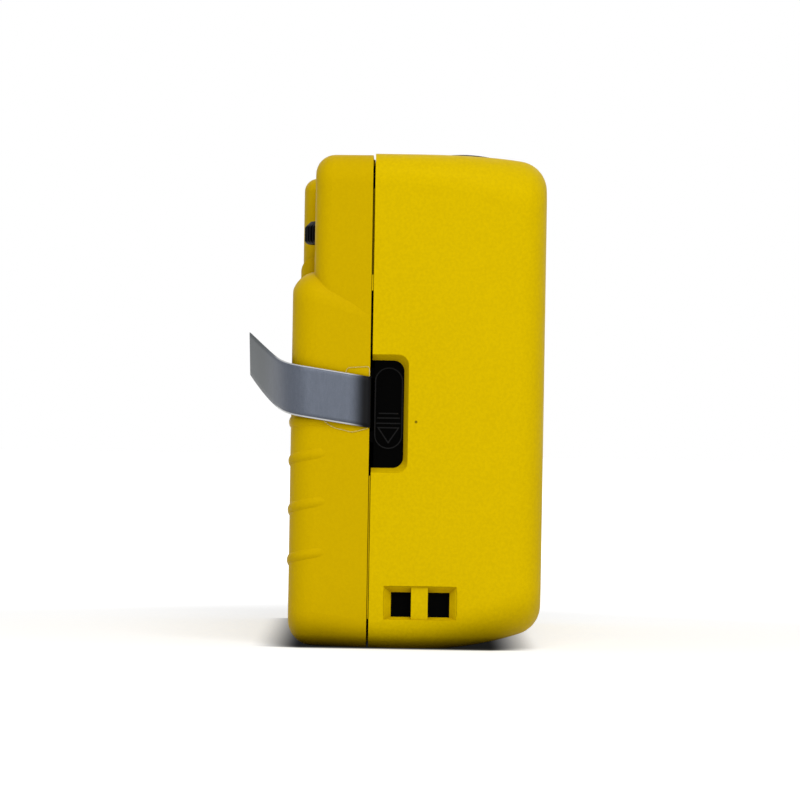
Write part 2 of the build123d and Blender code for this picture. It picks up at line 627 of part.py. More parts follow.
SPOOL_BARREL, SPOOL_FLANGE, SPOOL_FLANGE_THICKNESS = 6.0, 9.5, 1.3
SPOOL_Z0, SPOOL_Z1 = 6.0, 51.0
SPOOL_SLOT = (3.4, 7.0, -0.8, 0.8, 12.0, 45.0)
SPOOL_CATCH = (5.6, 6.6, -0.4, 0.4, 27.0, 30.0)


def make_take_up_spool():
    x, y = SPOOL_X, SPOOL_Y
    spool = post(x, y, SPOOL_BARREL, SPOOL_Z0, SPOOL_Z1)
    for z in (SPOOL_Z0, SPOOL_Z1 - SPOOL_FLANGE_THICKNESS):
        spool = spool + post(x, y, SPOOL_FLANGE, z, z + SPOOL_FLANGE_THICKNESS)
    spool = spool + post(x, y, SPOOL_FOOT, 3.4, SPOOL_Z0 + 0.2)
    spool = spool + post(x, y, SPOOL_NECK, SPOOL_Z1 - 0.2, WHEEL_Z1)
    spool = spool + post(x, y, SPOOL_TIP, WHEEL_Z1 - 0.2, 58.8)
    for angle in (0, 120, 240):
        turn = Pos(x, y, 0) * Rot(0, 0, angle)
        spool = spool - turn * box(*SPOOL_SLOT)
        spool = spool + turn * Rot(0, 0, 60) * box(*SPOOL_CATCH)
    return spool


SPROCKET_TEETH, SPROCKET_TOOTH, SPROCKET_TOOTH_TIP = 8, 0.85, 0.4
SPROCKET_TOOTH_HEIGHT = 1.6
SPROCKET_RIM_HALF = 1.8
SPROCKET_WAIST = (4.2, 11.8, 45.2)
SPROCKET_FOOT_Z, SPROCKET_HEAD_Z = 3.4, 59.6
COUNTER_FINGER = (3.8, 1.0, 1.2)
COUNTER_FINGER_Z, COUNTER_FINGER_TURN = 59.2, 200
FINGER_HUB = (2.3, 58.4, 60.0)


def make_sprocket():
    x, y = SPROCKET_X, SPROCKET_Y
    roller = post(x, y, SPROCKET_SHAFT, SPROCKET_FOOT_Z, SPROCKET_HEAD_Z)
    roller = roller + post(x, y, *SPROCKET_WAIST)
    tooth = Rot(0, 90, 0) * Cone(SPROCKET_TOOTH, SPROCKET_TOOTH_TIP, SPROCKET_TOOTH_HEIGHT)
    for z in (LENS_Z - PERFORATION_ROW, LENS_Z + PERFORATION_ROW):
        roller = roller + post(x, y, SPROCKET_RADIUS, z - SPROCKET_RIM_HALF, z + SPROCKET_RIM_HALF)
        for i in range(SPROCKET_TEETH):
            turn = Pos(x, y, z) * Rot(0, 0, 360 / SPROCKET_TEETH * i)
            roller = roller + turn * Pos(SPROCKET_RADIUS + 0.5, 0, 0) * tooth
    finger = Pos(x, y, COUNTER_FINGER_Z) * Rot(0, 0, COUNTER_FINGER_TURN)
    finger = finger * Pos(COUNTER_FINGER[0] / 2, 0, 0) * Box(*COUNTER_FINGER)
    return roller + post(x, y, *FINGER_HUB) + finger


DIAL_OUTER, DIAL_ROOT, DIAL_TEETH = 7.0, 6.4, 30
DIAL_Z0, DIAL_Z1 = 58.6, 59.9
DIAL_HUB = (2.4, 58.3, 60.9)


def make_counter_dial():
    dial = toothed_disc(DIAL_X, DIAL_Y, DIAL_OUTER, DIAL_ROOT, DIAL_TEETH, DIAL_Z0, DIAL_Z1)
    dial = dial + post(DIAL_X, DIAL_Y, *DIAL_HUB)
    return dial - post(DIAL_X, DIAL_Y, DIAL_POST + SHAFT_GAP, TOP_DECK_Z1, DIAL_HUB[2] + 0.1)


PAWL_TURN, PAWL_REACH = -43.9, 15.55
PAWL_STRIP, PAWL_TAB = (0.4, 6.0, 1.8), (1.6, 0.5, 1.8)


def make_wheel_pawl():
    """Spring strip beside the rim of the wheel, fixed to a pillar of the chassis."""
    turn = Pos(SPOOL_X, SPOOL_Y, (WHEEL_Z0 + WHEEL_Z1) / 2) * Rot(0, 0, PAWL_TURN)
    strip = turn * Pos(PAWL_REACH, 1.6, 0) * Box(*PAWL_STRIP)
    return strip + turn * Pos(PAWL_REACH + 0.65, 4.2, 0) * Box(*PAWL_TAB)


# Lenses: rim places along Y, radius, and the bulge of the front and rear faces
FRONT_LENS = (-16.0, -15.2, 4.55, 0.7, 0.3)
REAR_LENS = (-14.4, -13.5, 4.55, 0.3, 0.4)


def dome_ball(rim_y, radius, bulge, toward):
    """Ball whose cap stands a bulge above the rim plane of a round lens."""
    ball = (radius ** 2 + bulge ** 2) / (2 * bulge)
    return Pos(LENS_X, rim_y + toward * (bulge - ball), LENS_Z) * Sphere(ball)


def lens_disc(y0, y1, radius, front_bulge, rear_bulge):
    """Round lens with both faces domed, its rim from y0 to y1."""
    blank = barrel(LENS_X, LENS_Z, radius, y0 - front_bulge - 1.0, y1 + rear_bulge + 1.0)
    blank = blank & dome_ball(y0, radius, front_bulge, -1)
    return blank & dome_ball(y1, radius, rear_bulge, 1)


def make_front_lens():
    return lens_disc(*FRONT_LENS)


def make_rear_lens():
    return lens_disc(*REAR_LENS)


# Lens ring: radius and place along Y of each corner of its section
BEZEL_SECTION = [
    (4.6, -15.3), (12.4, -15.3), (12.4, -16.7), (13.3, -16.7), (13.3, -17.0),
    (12.9, -17.4), (10.8, -17.4), (10.2, -16.9), (5.4, -16.5), (4.6, -16.3),
]
LENS_HOLE = 4.6
HOLDER_TUBE, HOLDER_FLANGE = (6.5, -15.2, -12.95), (8.6, -13.7, -12.95)
HOLDER_CUT = (-16.0, -12.0)


def make_lens_bezel():
    section = make_face(Polyline(*BEZEL_SECTION, close=True).edges())
    return Pos(LENS_X, 0, LENS_Z) * revolve(section, Axis.Y)


def make_lens_holder():
    tube = barrel(LENS_X, LENS_Z, *HOLDER_TUBE) + barrel(LENS_X, LENS_Z, *HOLDER_FLANGE)
    return tube - barrel(LENS_X, LENS_Z, LENS_HOLE, *HOLDER_CUT)


APERTURE_PLATE = (-6.5, 10.5, -12.9, -12.6, 20.0, 37.0)
APERTURE_RADIUS = 1.4


def make_aperture_plate():
    hole = barrel(LENS_X, LENS_Z, APERTURE_RADIUS, -14.0, -12.0)
    return box(*APERTURE_PLATE) - hole


# Shutter
PIVOT_X, PIVOT_Z, PIVOT_RADIUS = -7.5, 38.0, 0.8
PIVOT_SPAN = (-13.4, -11.5)
SHUTTER_PLATE = (-11.0, 15.0, -11.6, -10.4, 18.7, 41.8)
SHUTTER_HOLE = 5.0
BLADE_Y, BLADE_THICKNESS = -11.9, 0.4
BLADE_DISC, BLADE_EYE = 5.6, 2.0
BLADE_ARM, BLADE_ARM_TURN = (13.0, 3.4), -45
BLADE_TAIL, BLADE_TAIL_PLACE = (4.2, 1.6), (-2.6, 1.2)
SPRING_Y, SPRING_RADIUS, SPRING_WIRE = -13.0, 1.15, 0.2
SPRING_ARMS = ((62, 5.0), (-8, 6.0))


def make_shutter_plate():
    plate = box(*SHUTTER_PLATE) - barrel(LENS_X, LENS_Z, SHUTTER_HOLE, -12.0, -10.0)
    return plate + barrel(PIVOT_X, PIVOT_Z, PIVOT_RADIUS, *PIVOT_SPAN)


def make_shutter_blade():
    outline = Pos(LENS_X, LENS_Z) * Circle(BLADE_DISC) + Pos(PIVOT_X, PIVOT_Z) * Circle(BLADE_EYE)
    middle = Pos((LENS_X + PIVOT_X) / 2, (LENS_Z + PIVOT_Z) / 2)
    outline = outline + middle * Rot(0, 0, BLADE_ARM_TURN) * Rectangle(*BLADE_ARM)
    tail_x, tail_z = BLADE_TAIL_PLACE
    outline = outline + Pos(PIVOT_X + tail_x, PIVOT_Z + tail_z) * Rectangle(*BLADE_TAIL)
    outline = outline - Pos(PIVOT_X, PIVOT_Z) * Circle(PIVOT_RADIUS + SHAFT_GAP)
    return extrude(upright_plane(0, BLADE_Y, 0) * outline, BLADE_THICKNESS)


def make_shutter_spring():
    """Hairpin of wire round the pivot of the blade."""
    pivot = Pos(PIVOT_X, SPRING_Y, PIVOT_Z)
    loop = pivot * Rot(90, 0, 0) * Torus(SPRING_RADIUS, SPRING_WIRE)
    for angle, length in SPRING_ARMS:
        wire = Rot(0, 90, 0) * Cylinder(SPRING_WIRE, length)
        loop = loop + pivot * Rot(0, -angle, 0) * Pos(length / 2, 0, SPRING_RADIUS) * wire
    return loop


# Finder
FINDER_TUBE = (-7.9, 5.9, -14.7, 11.4, 51.9, 61.3)
FINDER_FRONT, FINDER_REAR = (-15.0, 12.2, 7.8), (12.0, 8.6, 6.2)
FINDER_PANE_Y, FINDER_DISH = (-16.3, -15.2), (-28.2, 12.6)
EYE_PANE_Y, EYE_BALL = (12.6, 14.4), (-25.6, 40.0)
LENS_PANE_GAP = 0.1


def make_viewfinder_body():
    """Tube that narrows inside from the front window to the eyepiece."""
    ends = []
    for y, width, height in (FINDER_FRONT, FINDER_REAR):
        ends.append((upright_plane(FINDER_X, y, FINDER_Z) * Rectangle(width, height)).faces()[0])
    return box(*FINDER_TUBE) - loft(ends)


def make_viewfinder_window():
    dish_y, dish_radius = FINDER_DISH
    dish = Pos(FINDER_X, dish_y, FINDER_Z) * Sphere(dish_radius)
    return pane(FINDER_FRAME, FINDER_ROUND, FINDER_PANE_Y, LENS_PANE_GAP) - dish


def make_eyepiece_lens():
    ball_y, ball_radius = EYE_BALL
    ball = Pos(FINDER_X, ball_y, FINDER_Z) * Sphere(ball_radius)
    return pane(EYE_FRAME, EYE_ROUND, EYE_PANE_Y, LENS_PANE_GAP) & ball


# Flash
FLASH_X, FLASH_Z, FLASH_LENGTH = 28.0, 57.4, 20.0
BOWL_OUTER, BOWL_INNER = (4.2, -6.9, -14.7), (3.7, -7.5, -14.8)
BOWL_MIDDLE_Y, BOWL_MIDDLE_SHARE = -11.0, 0.72
TUBE_Y, TUBE_RADIUS, TUBE_SPAN = -9.6, 1.3, (26.6, 49.4)
CAP_RADIUS, CAP_SPANS = 1.6, ((26.2, 27.6), (48.4, 49.8))
BOARD = (13.4, 27.0, -3.2, -2.0, 18.8, 46.2)
BOARD_PARTS, BOARD_PART_Y = ((16.0, 22.0), (24.5, 30.0), (16.0, 41.0)), (-2.1, -0.9)
BOARD_PART_HALF = (1.3, 1.6)
CAN_X, CAN_Y, CAN_RADIUS, CAN_SPAN, CAN_ROUND = 20.4, -9.0, 5.1, (19.0, 46.0), 0.7
CAN_GROOVE_Z, CAN_GROOVE_RADIUS = (43.6, 44.4), 4.7
COIL_FLANGES, COIL_FLANGE = ((47.2, 48.4), (50.2, 51.4)), (13.9, 21.9, -13.4, -6.4)
COIL_CORE = (15.2, 20.6, -12.4, -7.4, 48.3, 50.3)


def make_flash_window():
    return (pane(FLASH_FRAME, FLASH_ROUND, FRONT_WALL, PANE_GAP) & FRONT_OUTER) - FRONT_INNER


def bowl_block(half_height, back, front):
    """Bowl-shaped section of the reflector, drawn across the camera and pulled along X."""
    middle = half_height * BOWL_MIDDLE_SHARE
    points = [
        (front, half_height), (BOWL_MIDDLE_Y, middle), (back, 0),
        (BOWL_MIDDLE_Y, -middle), (front, -half_height),
    ]
    with BuildSketch(side_plane(FLASH_X, FLASH_Z)) as section:
        with BuildLine():
            Spline(*points)
            Line(points[-1], points[0])
        make_face()
    return extrude(section.sketch, FLASH_LENGTH)


def make_flash_reflector():
    return bowl_block(*BOWL_OUTER) - bowl_block(*BOWL_INNER)


def make_flash_tube():
    tube = bar(TUBE_Y, FLASH_Z, TUBE_RADIUS, *TUBE_SPAN)
    return tube + [bar(TUBE_Y, FLASH_Z, CAP_RADIUS, *span) for span in CAP_SPANS]


def make_flash_board():
    half_x, half_z = BOARD_PART_HALF
    board = box(*BOARD)
    for x, z in BOARD_PARTS:
        board = board + box(x - half_x, x + half_x, *BOARD_PART_Y, z - half_z, z + half_z)
    return board


def make_flash_capacitor():
    can = post(CAN_X, CAN_Y, CAN_RADIUS, *CAN_SPAN)
    can = fillet(can.edges().filter_by(GeomType.CIRCLE), CAN_ROUND)
    neck = post(CAN_X, CAN_Y, CAN_GROOVE_RADIUS, *CAN_GROOVE_Z)
    return can - (post(CAN_X, CAN_Y, CAN_RADIUS + 1.0, *CAN_GROOVE_Z) - neck)


def make_flash_transformer():
    return box(*COIL_CORE) + [box(*COIL_FLANGE, *span) for span in COIL_FLANGES]


LAMP_STEM, LAMP_FLANGE = (61.0, 64.9), (2.0, 61.0, 62.6)
LAMP_DOME_Z, LAMP_DOME_CUT = 64.6, (12.0, 16.0, -7.0, -3.0, 64.7, 66.5)


def make_ready_lamp():
    lens = post(LAMP_X, LAMP_Y, LAMP_RADIUS, *LAMP_STEM) + post(LAMP_X, LAMP_Y, *LAMP_FLANGE)
    dome = Pos(LAMP_X, LAMP_Y, LAMP_DOME_Z) * Sphere(LAMP_RADIUS)
    return lens + (dome & box(*LAMP_DOME_CUT))


SWITCH_KNOB, SWITCH_KNOB_Y = (27.4, 32.6, 33.6, 38.8), (-18.1, -16.95)
SWITCH_STEM, SWITCH_STEM_ROUND, SWITCH_STEM_Y = (29.15, 30.85, 34.5, 37.9), 0.8, (-17.2, -14.3)
SWITCH_PLATE = (27.6, 32.4, -14.75, -14.1, 33.6, 38.8)
SWITCH_GROOVE, SWITCH_GROOVE_HALF = (27.9, 32.1, -18.3, -17.8), 0.3
SWITCH_GROOVE_PLACES = (34.9, 36.2, 37.5)


def make_flash_switch():
    knob = pane(SWITCH_KNOB, SWITCH_ROUND, SWITCH_KNOB_Y)
    half = SWITCH_GROOVE_HALF
    knob = knob - [box(*SWITCH_GROOVE, z - half, z + half) for z in SWITCH_GROOVE_PLACES]
    return knob + pane(SWITCH_STEM, SWITCH_STEM_ROUND, SWITCH_STEM_Y) + box(*SWITCH_PLATE)


# Battery
CELL_BODY, CELL_ROUND = 43.2, 0.5
CELL_TIP_RADIUS, CELL_TIP_LENGTH = 1.9, 1.2
CONTACT_BACK, CONTACT_FRONT = (-24.9, -24.5, -11.0, -3.0, 3.6, 11.4), (25.2, 25.6, -11.0, -3.0, 3.6, 11.4)
TONGUE_X, TONGUE_TURN, TONGUE = -23.6, 12, (0.35, 8.0, 4.0)
TONGUE_ROOT = (-24.7, -24.3, -11.0, -9.8, 5.5, 9.5)
LID_PLATE, LID_ROUND = (-25.0, 26.0, -12.25, -3.1, 0.15, 1.35), 1.4
LID_ARM_Y, LID_ARM_Z = (-3.3, LID_PIN_Y), (0.15, 1.35)
LID_GRIPS, LID_GRIP_PITCH = 5, 0.9
LID_GRIP_X, LID_GRIP_Y, LID_GRIP_Z = (-6.0, 7.0), (-11.4, -11.0), (0.0, 0.45)


def make_battery():
    end = BATTERY_X - BATTERY_LENGTH / 2
    tip = end + CELL_BODY
    cell = bar(BATTERY_Y, BATTERY_Z, BATTERY_RADIUS, end, tip)
    cell = fillet(cell.edges().filter_by(GeomType.CIRCLE), CELL_ROUND)
    return cell + bar(BATTERY_Y, BATTERY_Z, CELL_TIP_RADIUS, tip - 0.2, tip - 0.2 + CELL_TIP_LENGTH)


def make_battery_contacts():
    """Bent strip at the flat end and a plain plate at the other."""
    tongue = Pos(TONGUE_X, BATTERY_Y, BATTERY_Z) * Rot(0, 0, TONGUE_TURN) * Box(*TONGUE)
    return box(*CONTACT_BACK) + tongue + box(*TONGUE_ROOT) + box(*CONTACT_FRONT)


def make_battery_door():
    """Lid with a ribbed finger place, tilted about its pin like the case above it."""
    lid = box(*LID_PLATE)
    lid = fillet(lid.edges().filter_by(Axis.Z).sort_by(Axis.Y)[:2], LID_ROUND)
    grip_y0, grip_y1 = LID_GRIP_Y
    for i in range(LID_GRIPS):
        step = LID_GRIP_PITCH * i
        lid = lid - box(*LID_GRIP_X, grip_y0 + step, grip_y1 + step, *LID_GRIP_Z)
    lid = lid + [box(*span, *LID_ARM_Y, *LID_ARM_Z) for span in LID_KNUCKLES]
    lid = Pos(0, LID_PIN_Y, LID_PIN_Z) * Rot(-LID_TILT, 0, 0) * Pos(0, -LID_PIN_Y, -LID_PIN_Z) * lid
    lid = lid + [bar(LID_PIN_Y, LID_PIN_Z, LID_KNUCKLE, *span) for span in LID_KNUCKLES]
    return lid - bar(LID_PIN_Y, LID_PIN_Z, LID_PIN_RADIUS + 0.07, -23.0, 24.0)


def make_battery_door_pin():
    return bar(LID_PIN_Y, LID_PIN_Z, LID_PIN_RADIUS, *LID_PIN_SPAN)


# Shutter button and what it pushes
BUTTON_SPAN, BUTTON_CROWN = (61.4, 66.0), 20.0
BUTTON_TOP_Z = 65.6
BUTTON_FLANGE, BUTTON_STEM = (6.4, 61.0, 61.8), (1.6, 60.3, 61.2)
ROD_START, ROD_END, ROD_ARM_Z = (-35.4, -8.1), (-29.8, -13.4), 60.7
ROD_ARM = (7.8, 2.0, 0.6)
ROD_DROP, ROD_FOOT = (-31.0, -28.2, -14.3, -13.6, 41.6, 61.0), (-31.0, -13.6, -14.3, -13.6, 41.6, 43.0)
COIL_PITCH, COIL_HEIGHT, COIL_RADIUS, COIL_WIRE, COIL_Z = 0.5, 1.0, 2.9, 0.2, 58.3


def make_shutter_button():
    """Cap with a low crown, a flange under the top wall and a stem."""
    cap = post(BUTTON_X, BUTTON_Y, BUTTON_RADIUS, *BUTTON_SPAN)
    cap = cap & (Pos(BUTTON_X, BUTTON_Y, BUTTON_TOP_Z - BUTTON_CROWN) * Sphere(BUTTON_CROWN))
    cap = cap + post(BUTTON_X, BUTTON_Y, *BUTTON_FLANGE)
    return cap + post(BUTTON_X, BUTTON_Y, *BUTTON_STEM)


def make_release_rod():
    """Bent strip under the button that reaches down to the shutter."""
    (x0, y0), (x1, y1) = ROD_START, ROD_END
    angle = math.degrees(math.atan2(y1 - y0, x1 - x0))
    arm = Pos((x0 + x1) / 2, (y0 + y1) / 2, ROD_ARM_Z) * Rot(0, 0, angle) * Box(*ROD_ARM)
    return arm + box(*ROD_DROP) + box(*ROD_FOOT)


def make_button_spring():
    """Coil round the stem, drawn at the length it has under the pressed button."""
    path = Helix(COIL_PITCH, COIL_HEIGHT, COIL_RADIUS)
    wire = sweep(Plane(origin=path @ 0, z_dir=path % 0) * Circle(COIL_WIRE), path=path)
    return Pos(BUTTON_X, BUTTON_Y, COIL_Z) * wire


def make_counter_window():
    return post(DIAL_X, COUNTER_Y, COUNTER_RADIUS, *TOP_WALL) & FRONT_OUTER - FRONT_INNER


# Rewind crank
LEVER_X, LEVER_Z = REWIND_X - 5.4, 64.05
KNOB_X = REWIND_X + 4.4
BUSH_SPAN = (55.4, 61.5)
SHAFT_SPAN, CRANK_DISC, SHAFT_COLLAR = (48.4, 62.0), (8.3, 61.8, 64.4), (3.2, 54.4, 55.2)
FORK_SLOT = (0.8, 4.0, 48.0, 51.3)
LEVER_SLOT_X, LEVER_SLOT_HALF, LEVER_SLOT_Z = (-7.4, 9.0), 2.5, (63.2, 65.0)
KNOB_SPACE = (2.3, 62.1, 65.0)
LEVER_PIN, LEVER_PIN_LENGTH, LEVER_PIN_GAP = 0.4, 6.8, 0.07
CRANK_NOTCHES, NOTCH_RADIUS, NOTCH_REACH, NOTCH_Z = 36, 0.28, 8.35, 63.6
ARM_Z, ARM_HALF, ARM_HINGE = (63.5, 64.6), 2.2, 0.55
KNOB_BODY, KNOB_STEM, KNOB_HEAD = (1.8, 62.35, 63.2), (0.6, 63.0, 64.75), (1.1, 64.7, 64.95)


def lever_pin(radius, length):
    return Pos(LEVER_X, REWIND_Y, LEVER_Z) * Rot(90, 0, 0) * Cylinder(radius, length)


def make_rewind_bush():
    bush = post(REWIND_X, REWIND_Y, BUSH_RADIUS, *BUSH_SPAN)
    return bush - post(REWIND_X, REWIND_Y, REWIND_SHAFT + SHAFT_GAP, 55.0, 62.0)


def make_rewind_shaft():
    """Crank disc with a milled rim and a slot for the lever, its shaft forked below."""
    x, y = REWIND_X, REWIND_Y
    shaft = post(x, y, REWIND_SHAFT, *SHAFT_SPAN) + post(x, y, *CRANK_DISC)
    shaft = shaft + post(x, y, *SHAFT_COLLAR)
    half_x, half_y, z0, z1 = FORK_SLOT
    shaft = shaft - box(x - half_x, x + half_x, y - half_y, y + half_y, z0, z1)
    (left, right), half = LEVER_SLOT_X, LEVER_SLOT_HALF
    shaft = shaft - box(x + left, x + right, y - half, y + half, *LEVER_SLOT_Z)
    shaft = shaft - post(KNOB_X, y, *KNOB_SPACE)
    shaft = shaft - lever_pin(LEVER_PIN + LEVER_PIN_GAP, LEVER_PIN_LENGTH + 0.4)
    step = 360 / CRANK_NOTCHES
    for i in range(CRANK_NOTCHES):
        turn = Pos(x, y, NOTCH_Z) * Rot(0, 0, step * i + step / 2)
        shaft = shaft - turn * Pos(NOTCH_REACH, 0, 0) * Cylinder(NOTCH_RADIUS, 2.0)
    return shaft


def make_rewind_lever():
    y = REWIND_Y
    arm = box(LEVER_X, KNOB_X, y - ARM_HALF, y + ARM_HALF, *ARM_Z)
    arm = arm + post(KNOB_X, y, ARM_HALF, *ARM_Z)
    arm = arm + lever_pin(ARM_HINGE, 2 * ARM_HALF) + lever_pin(LEVER_PIN, LEVER_PIN_LENGTH)
    return arm - post(KNOB_X, y, KNOB_STEM[0] + SHAFT_GAP, 63.0, 65.0)


def make_rewind_knob():
    knob = post(KNOB_X, REWIND_Y, *KNOB_BODY)
    return knob + post(KNOB_X, REWIND_Y, *KNOB_STEM) + post(KNOB_X, REWIND_Y, *KNOB_HEAD)


# Film cassette
CAN_WALL, CAN_LID = 0.6, 0.7
MOUTH_X, MOUTH_Y, MOUTH_END = (27.2, 37.0), (9.9, 11.9), 1.0
MOUTH_SLOT_X, MOUTH_SLOT_Y, MOUTH_SLOT_HALF = (27.0, 40.0), (10.7, 11.3), 17.8
BEAD_WIDTH, BEAD_DEPTH, BEAD_PLACES = 0.4, 0.25, (CASSETTE_Z0 + 1.2, CASSETTE_Z1 - 1.6)
MOUTH_KEEP = (20.0, 39.0, 9.0, 13.0)
CORE_SPAN, CORE_FLANGE, CORE_FLANGE_THICKNESS = (2.3, 51.8), 10.8, 1.0
CORE_FLANGE_PLACES = (CASSETTE_Z0 + 1.4, CASSETTE_Z1 - 2.4)
CORE_BORE, CORE_BORES = 2.85, ((47.6, 53.0), (1.0, 5.0))
KEY_HALF_X, KEY_HALF_Y, KEYS = 0.45, 3.2, ((47.6, 50.9), (3.0, 5.0))
ROLL_RADIUS = 10.3


def make_cassette_shell():
    """Can with pressed beads, felt mouth and the spool's holes."""
    x, y = REWIND_X, REWIND_Y
    can = post(x, y, CASSETTE_RADIUS, CASSETTE_Z0, CASSETTE_Z1)
    can = can + box(*MOUTH_X, *MOUTH_Y, CASSETTE_Z0 + MOUTH_END, CASSETTE_Z1 - MOUTH_END)
    can = can - post(x, y, CASSETTE_RADIUS - CAN_WALL, CASSETTE_Z0 + CAN_LID, CASSETTE_Z1 - CAN_LID)
    can = can - post(x, y, SPOOL_CORE + SHAFT_GAP, *UPRIGHT)
    half = MOUTH_SLOT_HALF
    can = can - box(*MOUTH_SLOT_X, *MOUTH_SLOT_Y, LENS_Z - half, LENS_Z + half)
    for z in BEAD_PLACES:
        groove = post(x, y, CASSETTE_RADIUS + 1.0, z, z + BEAD_WIDTH)
        groove = groove - post(x, y, CASSETTE_RADIUS - BEAD_DEPTH, z, z + BEAD_WIDTH)
        can = can - (groove - box(*MOUTH_KEEP, *UPRIGHT))
    return can


def make_cassette_spool():
    x, y = REWIND_X, REWIND_Y
    spool = post(x, y, SPOOL_CORE, *CORE_SPAN)
    for z in CORE_FLANGE_PLACES:
        spool = spool + post(x, y, CORE_FLANGE, z, z + CORE_FLANGE_THICKNESS)
    spool = spool - [post(x, y, CORE_BORE, *span) for span in CORE_BORES]
    for span in KEYS:
        spool = spool + box(x - KEY_HALF_X, x + KEY_HALF_X, y - KEY_HALF_Y, y + KEY_HALF_Y, *span)
    return spool


def make_film_roll():
    roll = post(REWIND_X, REWIND_Y, ROLL_RADIUS, LENS_Z - FILM_WIDTH / 2, LENS_Z + FILM_WIDTH / 2)
    return roll - post(REWIND_X, REWIND_Y, SPOOL_CORE, *UPRIGHT)


# Film across the gate
FILM_LINE_Y, FILM_THICKNESS = 12.65, 0.2
FILM_FLAT = (-16.4, 22.2)
FILM_BEND = ((FILM_FLAT[1], FILM_LINE_Y), (24.6, 11.9), (27.4, 11.05), (33.0, 11.0))
TONGUE_TRIM = ((2.0, 8.0), (-20.0, 8.0), (-20.0, 24.6), (-3.5, 24.6))
TRIM_BEND = (0.5, 20.0)
FRAME_HOLES, FRAME_HOLE_PITCH, FIRST_HOLE_X = 8, 4.75, -13.5
HOLE_HALF_X, HOLE_HALF_Z, HOLE_CUT = 1.0, 1.4, (12.0, 13.2)


def leader_trim():
    """Part cut away from the end of the film, which leaves its tongue."""
    with BuildSketch(upright_plane(0, 20.0, 0)) as trim:
        with BuildLine():
            Polyline(*TONGUE_TRIM)
            ends = (TONGUE_TRIM[-1], TRIM_BEND, TONGUE_TRIM[0])
            Spline(*ends, tangents=((1, 0), (0.2, -1)))
        make_face()
    return extrude(trim.sketch, 20.0)


def make_film_leader():
    """Fresh film laid across the gate, its end trimmed to a tongue."""
    start = (FILM_FLAT[0], FILM_LINE_Y)
    route = Line(start, FILM_BEND[0]) + Spline(*FILM_BEND, tangents=((1, 0), (1, 0)))
    strip = trace(Wire(route.edges()), line_width=FILM_THICKNESS)
    strip = extrude(Plane(origin=(0, 0, LENS_Z - FILM_WIDTH / 2)) * strip, FILM_WIDTH)
    strip = strip - leader_trim()
    for i in range(FRAME_HOLES):
        x = FIRST_HOLE_X + FRAME_HOLE_PITCH * i
        for z in (LENS_Z - PERFORATION_ROW, LENS_Z + PERFORATION_ROW):
            hole = (x - HOLE_HALF_X, x + HOLE_HALF_X, *HOLE_CUT, z - HOLE_HALF_Z, z + HOLE_HALF_Z)
            strip = strip - box(*hole)
    return strip


# Film door pieces
PLATE_FRAME, PLATE_ROUND, PLATE_Y = (-17.4, 21.4, 11.3, 45.7), 1.5, (12.98, 13.6)
PLATE_GROOVE, PLATE_GROOVE_HALF, PLATE_GROOVES = (-12.0, 16.0, 13.35, 14.0), 0.8, (16.0, 41.0)
LEAF_X, LEAF_TOP_X, LEAF_Z, LEAF_WIDTH = (-12.0, 16.0), 2.0, 25.0, 7.0
LEAF_END_Y, LEAF_TOP_Y, LEAF_THICKNESS = 13.62, 14.62, 0.13
LEAF_HOLE = (0.5, 3.5, 14.0, 16.0, 27.0, 30.0)
LEAF_BULGE = 0.15


def make_pressure_plate():
    plate = pane(PLATE_FRAME, PLATE_ROUND, PLATE_Y)
    half = PLATE_GROOVE_HALF
    return plate - [box(*PLATE_GROOVE, z - half, z + half) for z in PLATE_GROOVES]


def make_plate_spring():
    """Bowed leaf between the door and the pressure plate."""
    left, right = LEAF_X
    outer_y = LEAF_END_Y + LEAF_THICKNESS
    top_y = LEAF_TOP_Y + LEAF_THICKNESS + LEAF_BULGE
    with BuildSketch(Plane.XY) as leaf:
        with BuildLine():
            ThreePointArc((left, outer_y), (LEAF_TOP_X, top_y), (right, outer_y))
            Line((right, outer_y), (right, LEAF_END_Y))
            ThreePointArc((right, LEAF_END_Y), (LEAF_TOP_X, LEAF_TOP_Y), (left, LEAF_END_Y))
            Line((left, LEAF_END_Y), (left, outer_y))
        make_face()
    return Pos(0, 0, LEAF_Z) * extrude(leaf.sketch, LEAF_WIDTH) - box(*LEAF_HOLE)


def make_film_window():
    bulge = form(BULGE_RINGS, BULGE_Y, BULGE_ROUND)
    return (pane(FILM_FRAME, FILM_ROUND, REAR_WALL, PANE_GAP) & bulge) - BULGE_INNER


SEAL_FOAM = (52.4, 54.2, 8.4, 10.2, 8.0, 56.0)


def make_seal_foam():
    return box(*SEAL_FOAM)


def make_hinge_pin():
    return post(HINGE_X, HINGE_Y, PIN_RADIUS, *PIN_SPAN)


# Screws and the release button in the base
HEAD_RADIUS, HEAD_SPAN, SHANK_SPAN = 1.5, (1.25, 2.2), (-6.0, 1.3)
CROSS_LONG, CROSS_NARROW, CROSS_DEPTH = 1.1, 0.22, (1.8, 2.4)
RELEASE_SPAN, RELEASE_ROUND, RELEASE_FLANGE = (0.35, 2.3), 0.5, (3.4, 2.15, 2.7)
WASHER_Z, WASHER_OUTER, WASHER_INNER = (3.78, 4.05), 3.2, 2.0
WASHER_GAP = (-33.6, -32.4, -2.2, 0.0, 3.0, 5.0)


def make_screws():
    """Four equal screws that hold the chassis to the front cover."""
    screws = []
    for x, z in SCREW_PLACES:
        screw = barrel(x, z, HEAD_RADIUS, *HEAD_SPAN) + barrel(x, z, SCREW_RADIUS, *SHANK_SPAN)
        for half_x, half_z in ((CROSS_LONG, CROSS_NARROW), (CROSS_NARROW, CROSS_LONG)):
            screw = screw - box(x - half_x, x + half_x, *CROSS_DEPTH, z - half_z, z + half_z)
        screws.append(screw)
    return Compound(children=screws)


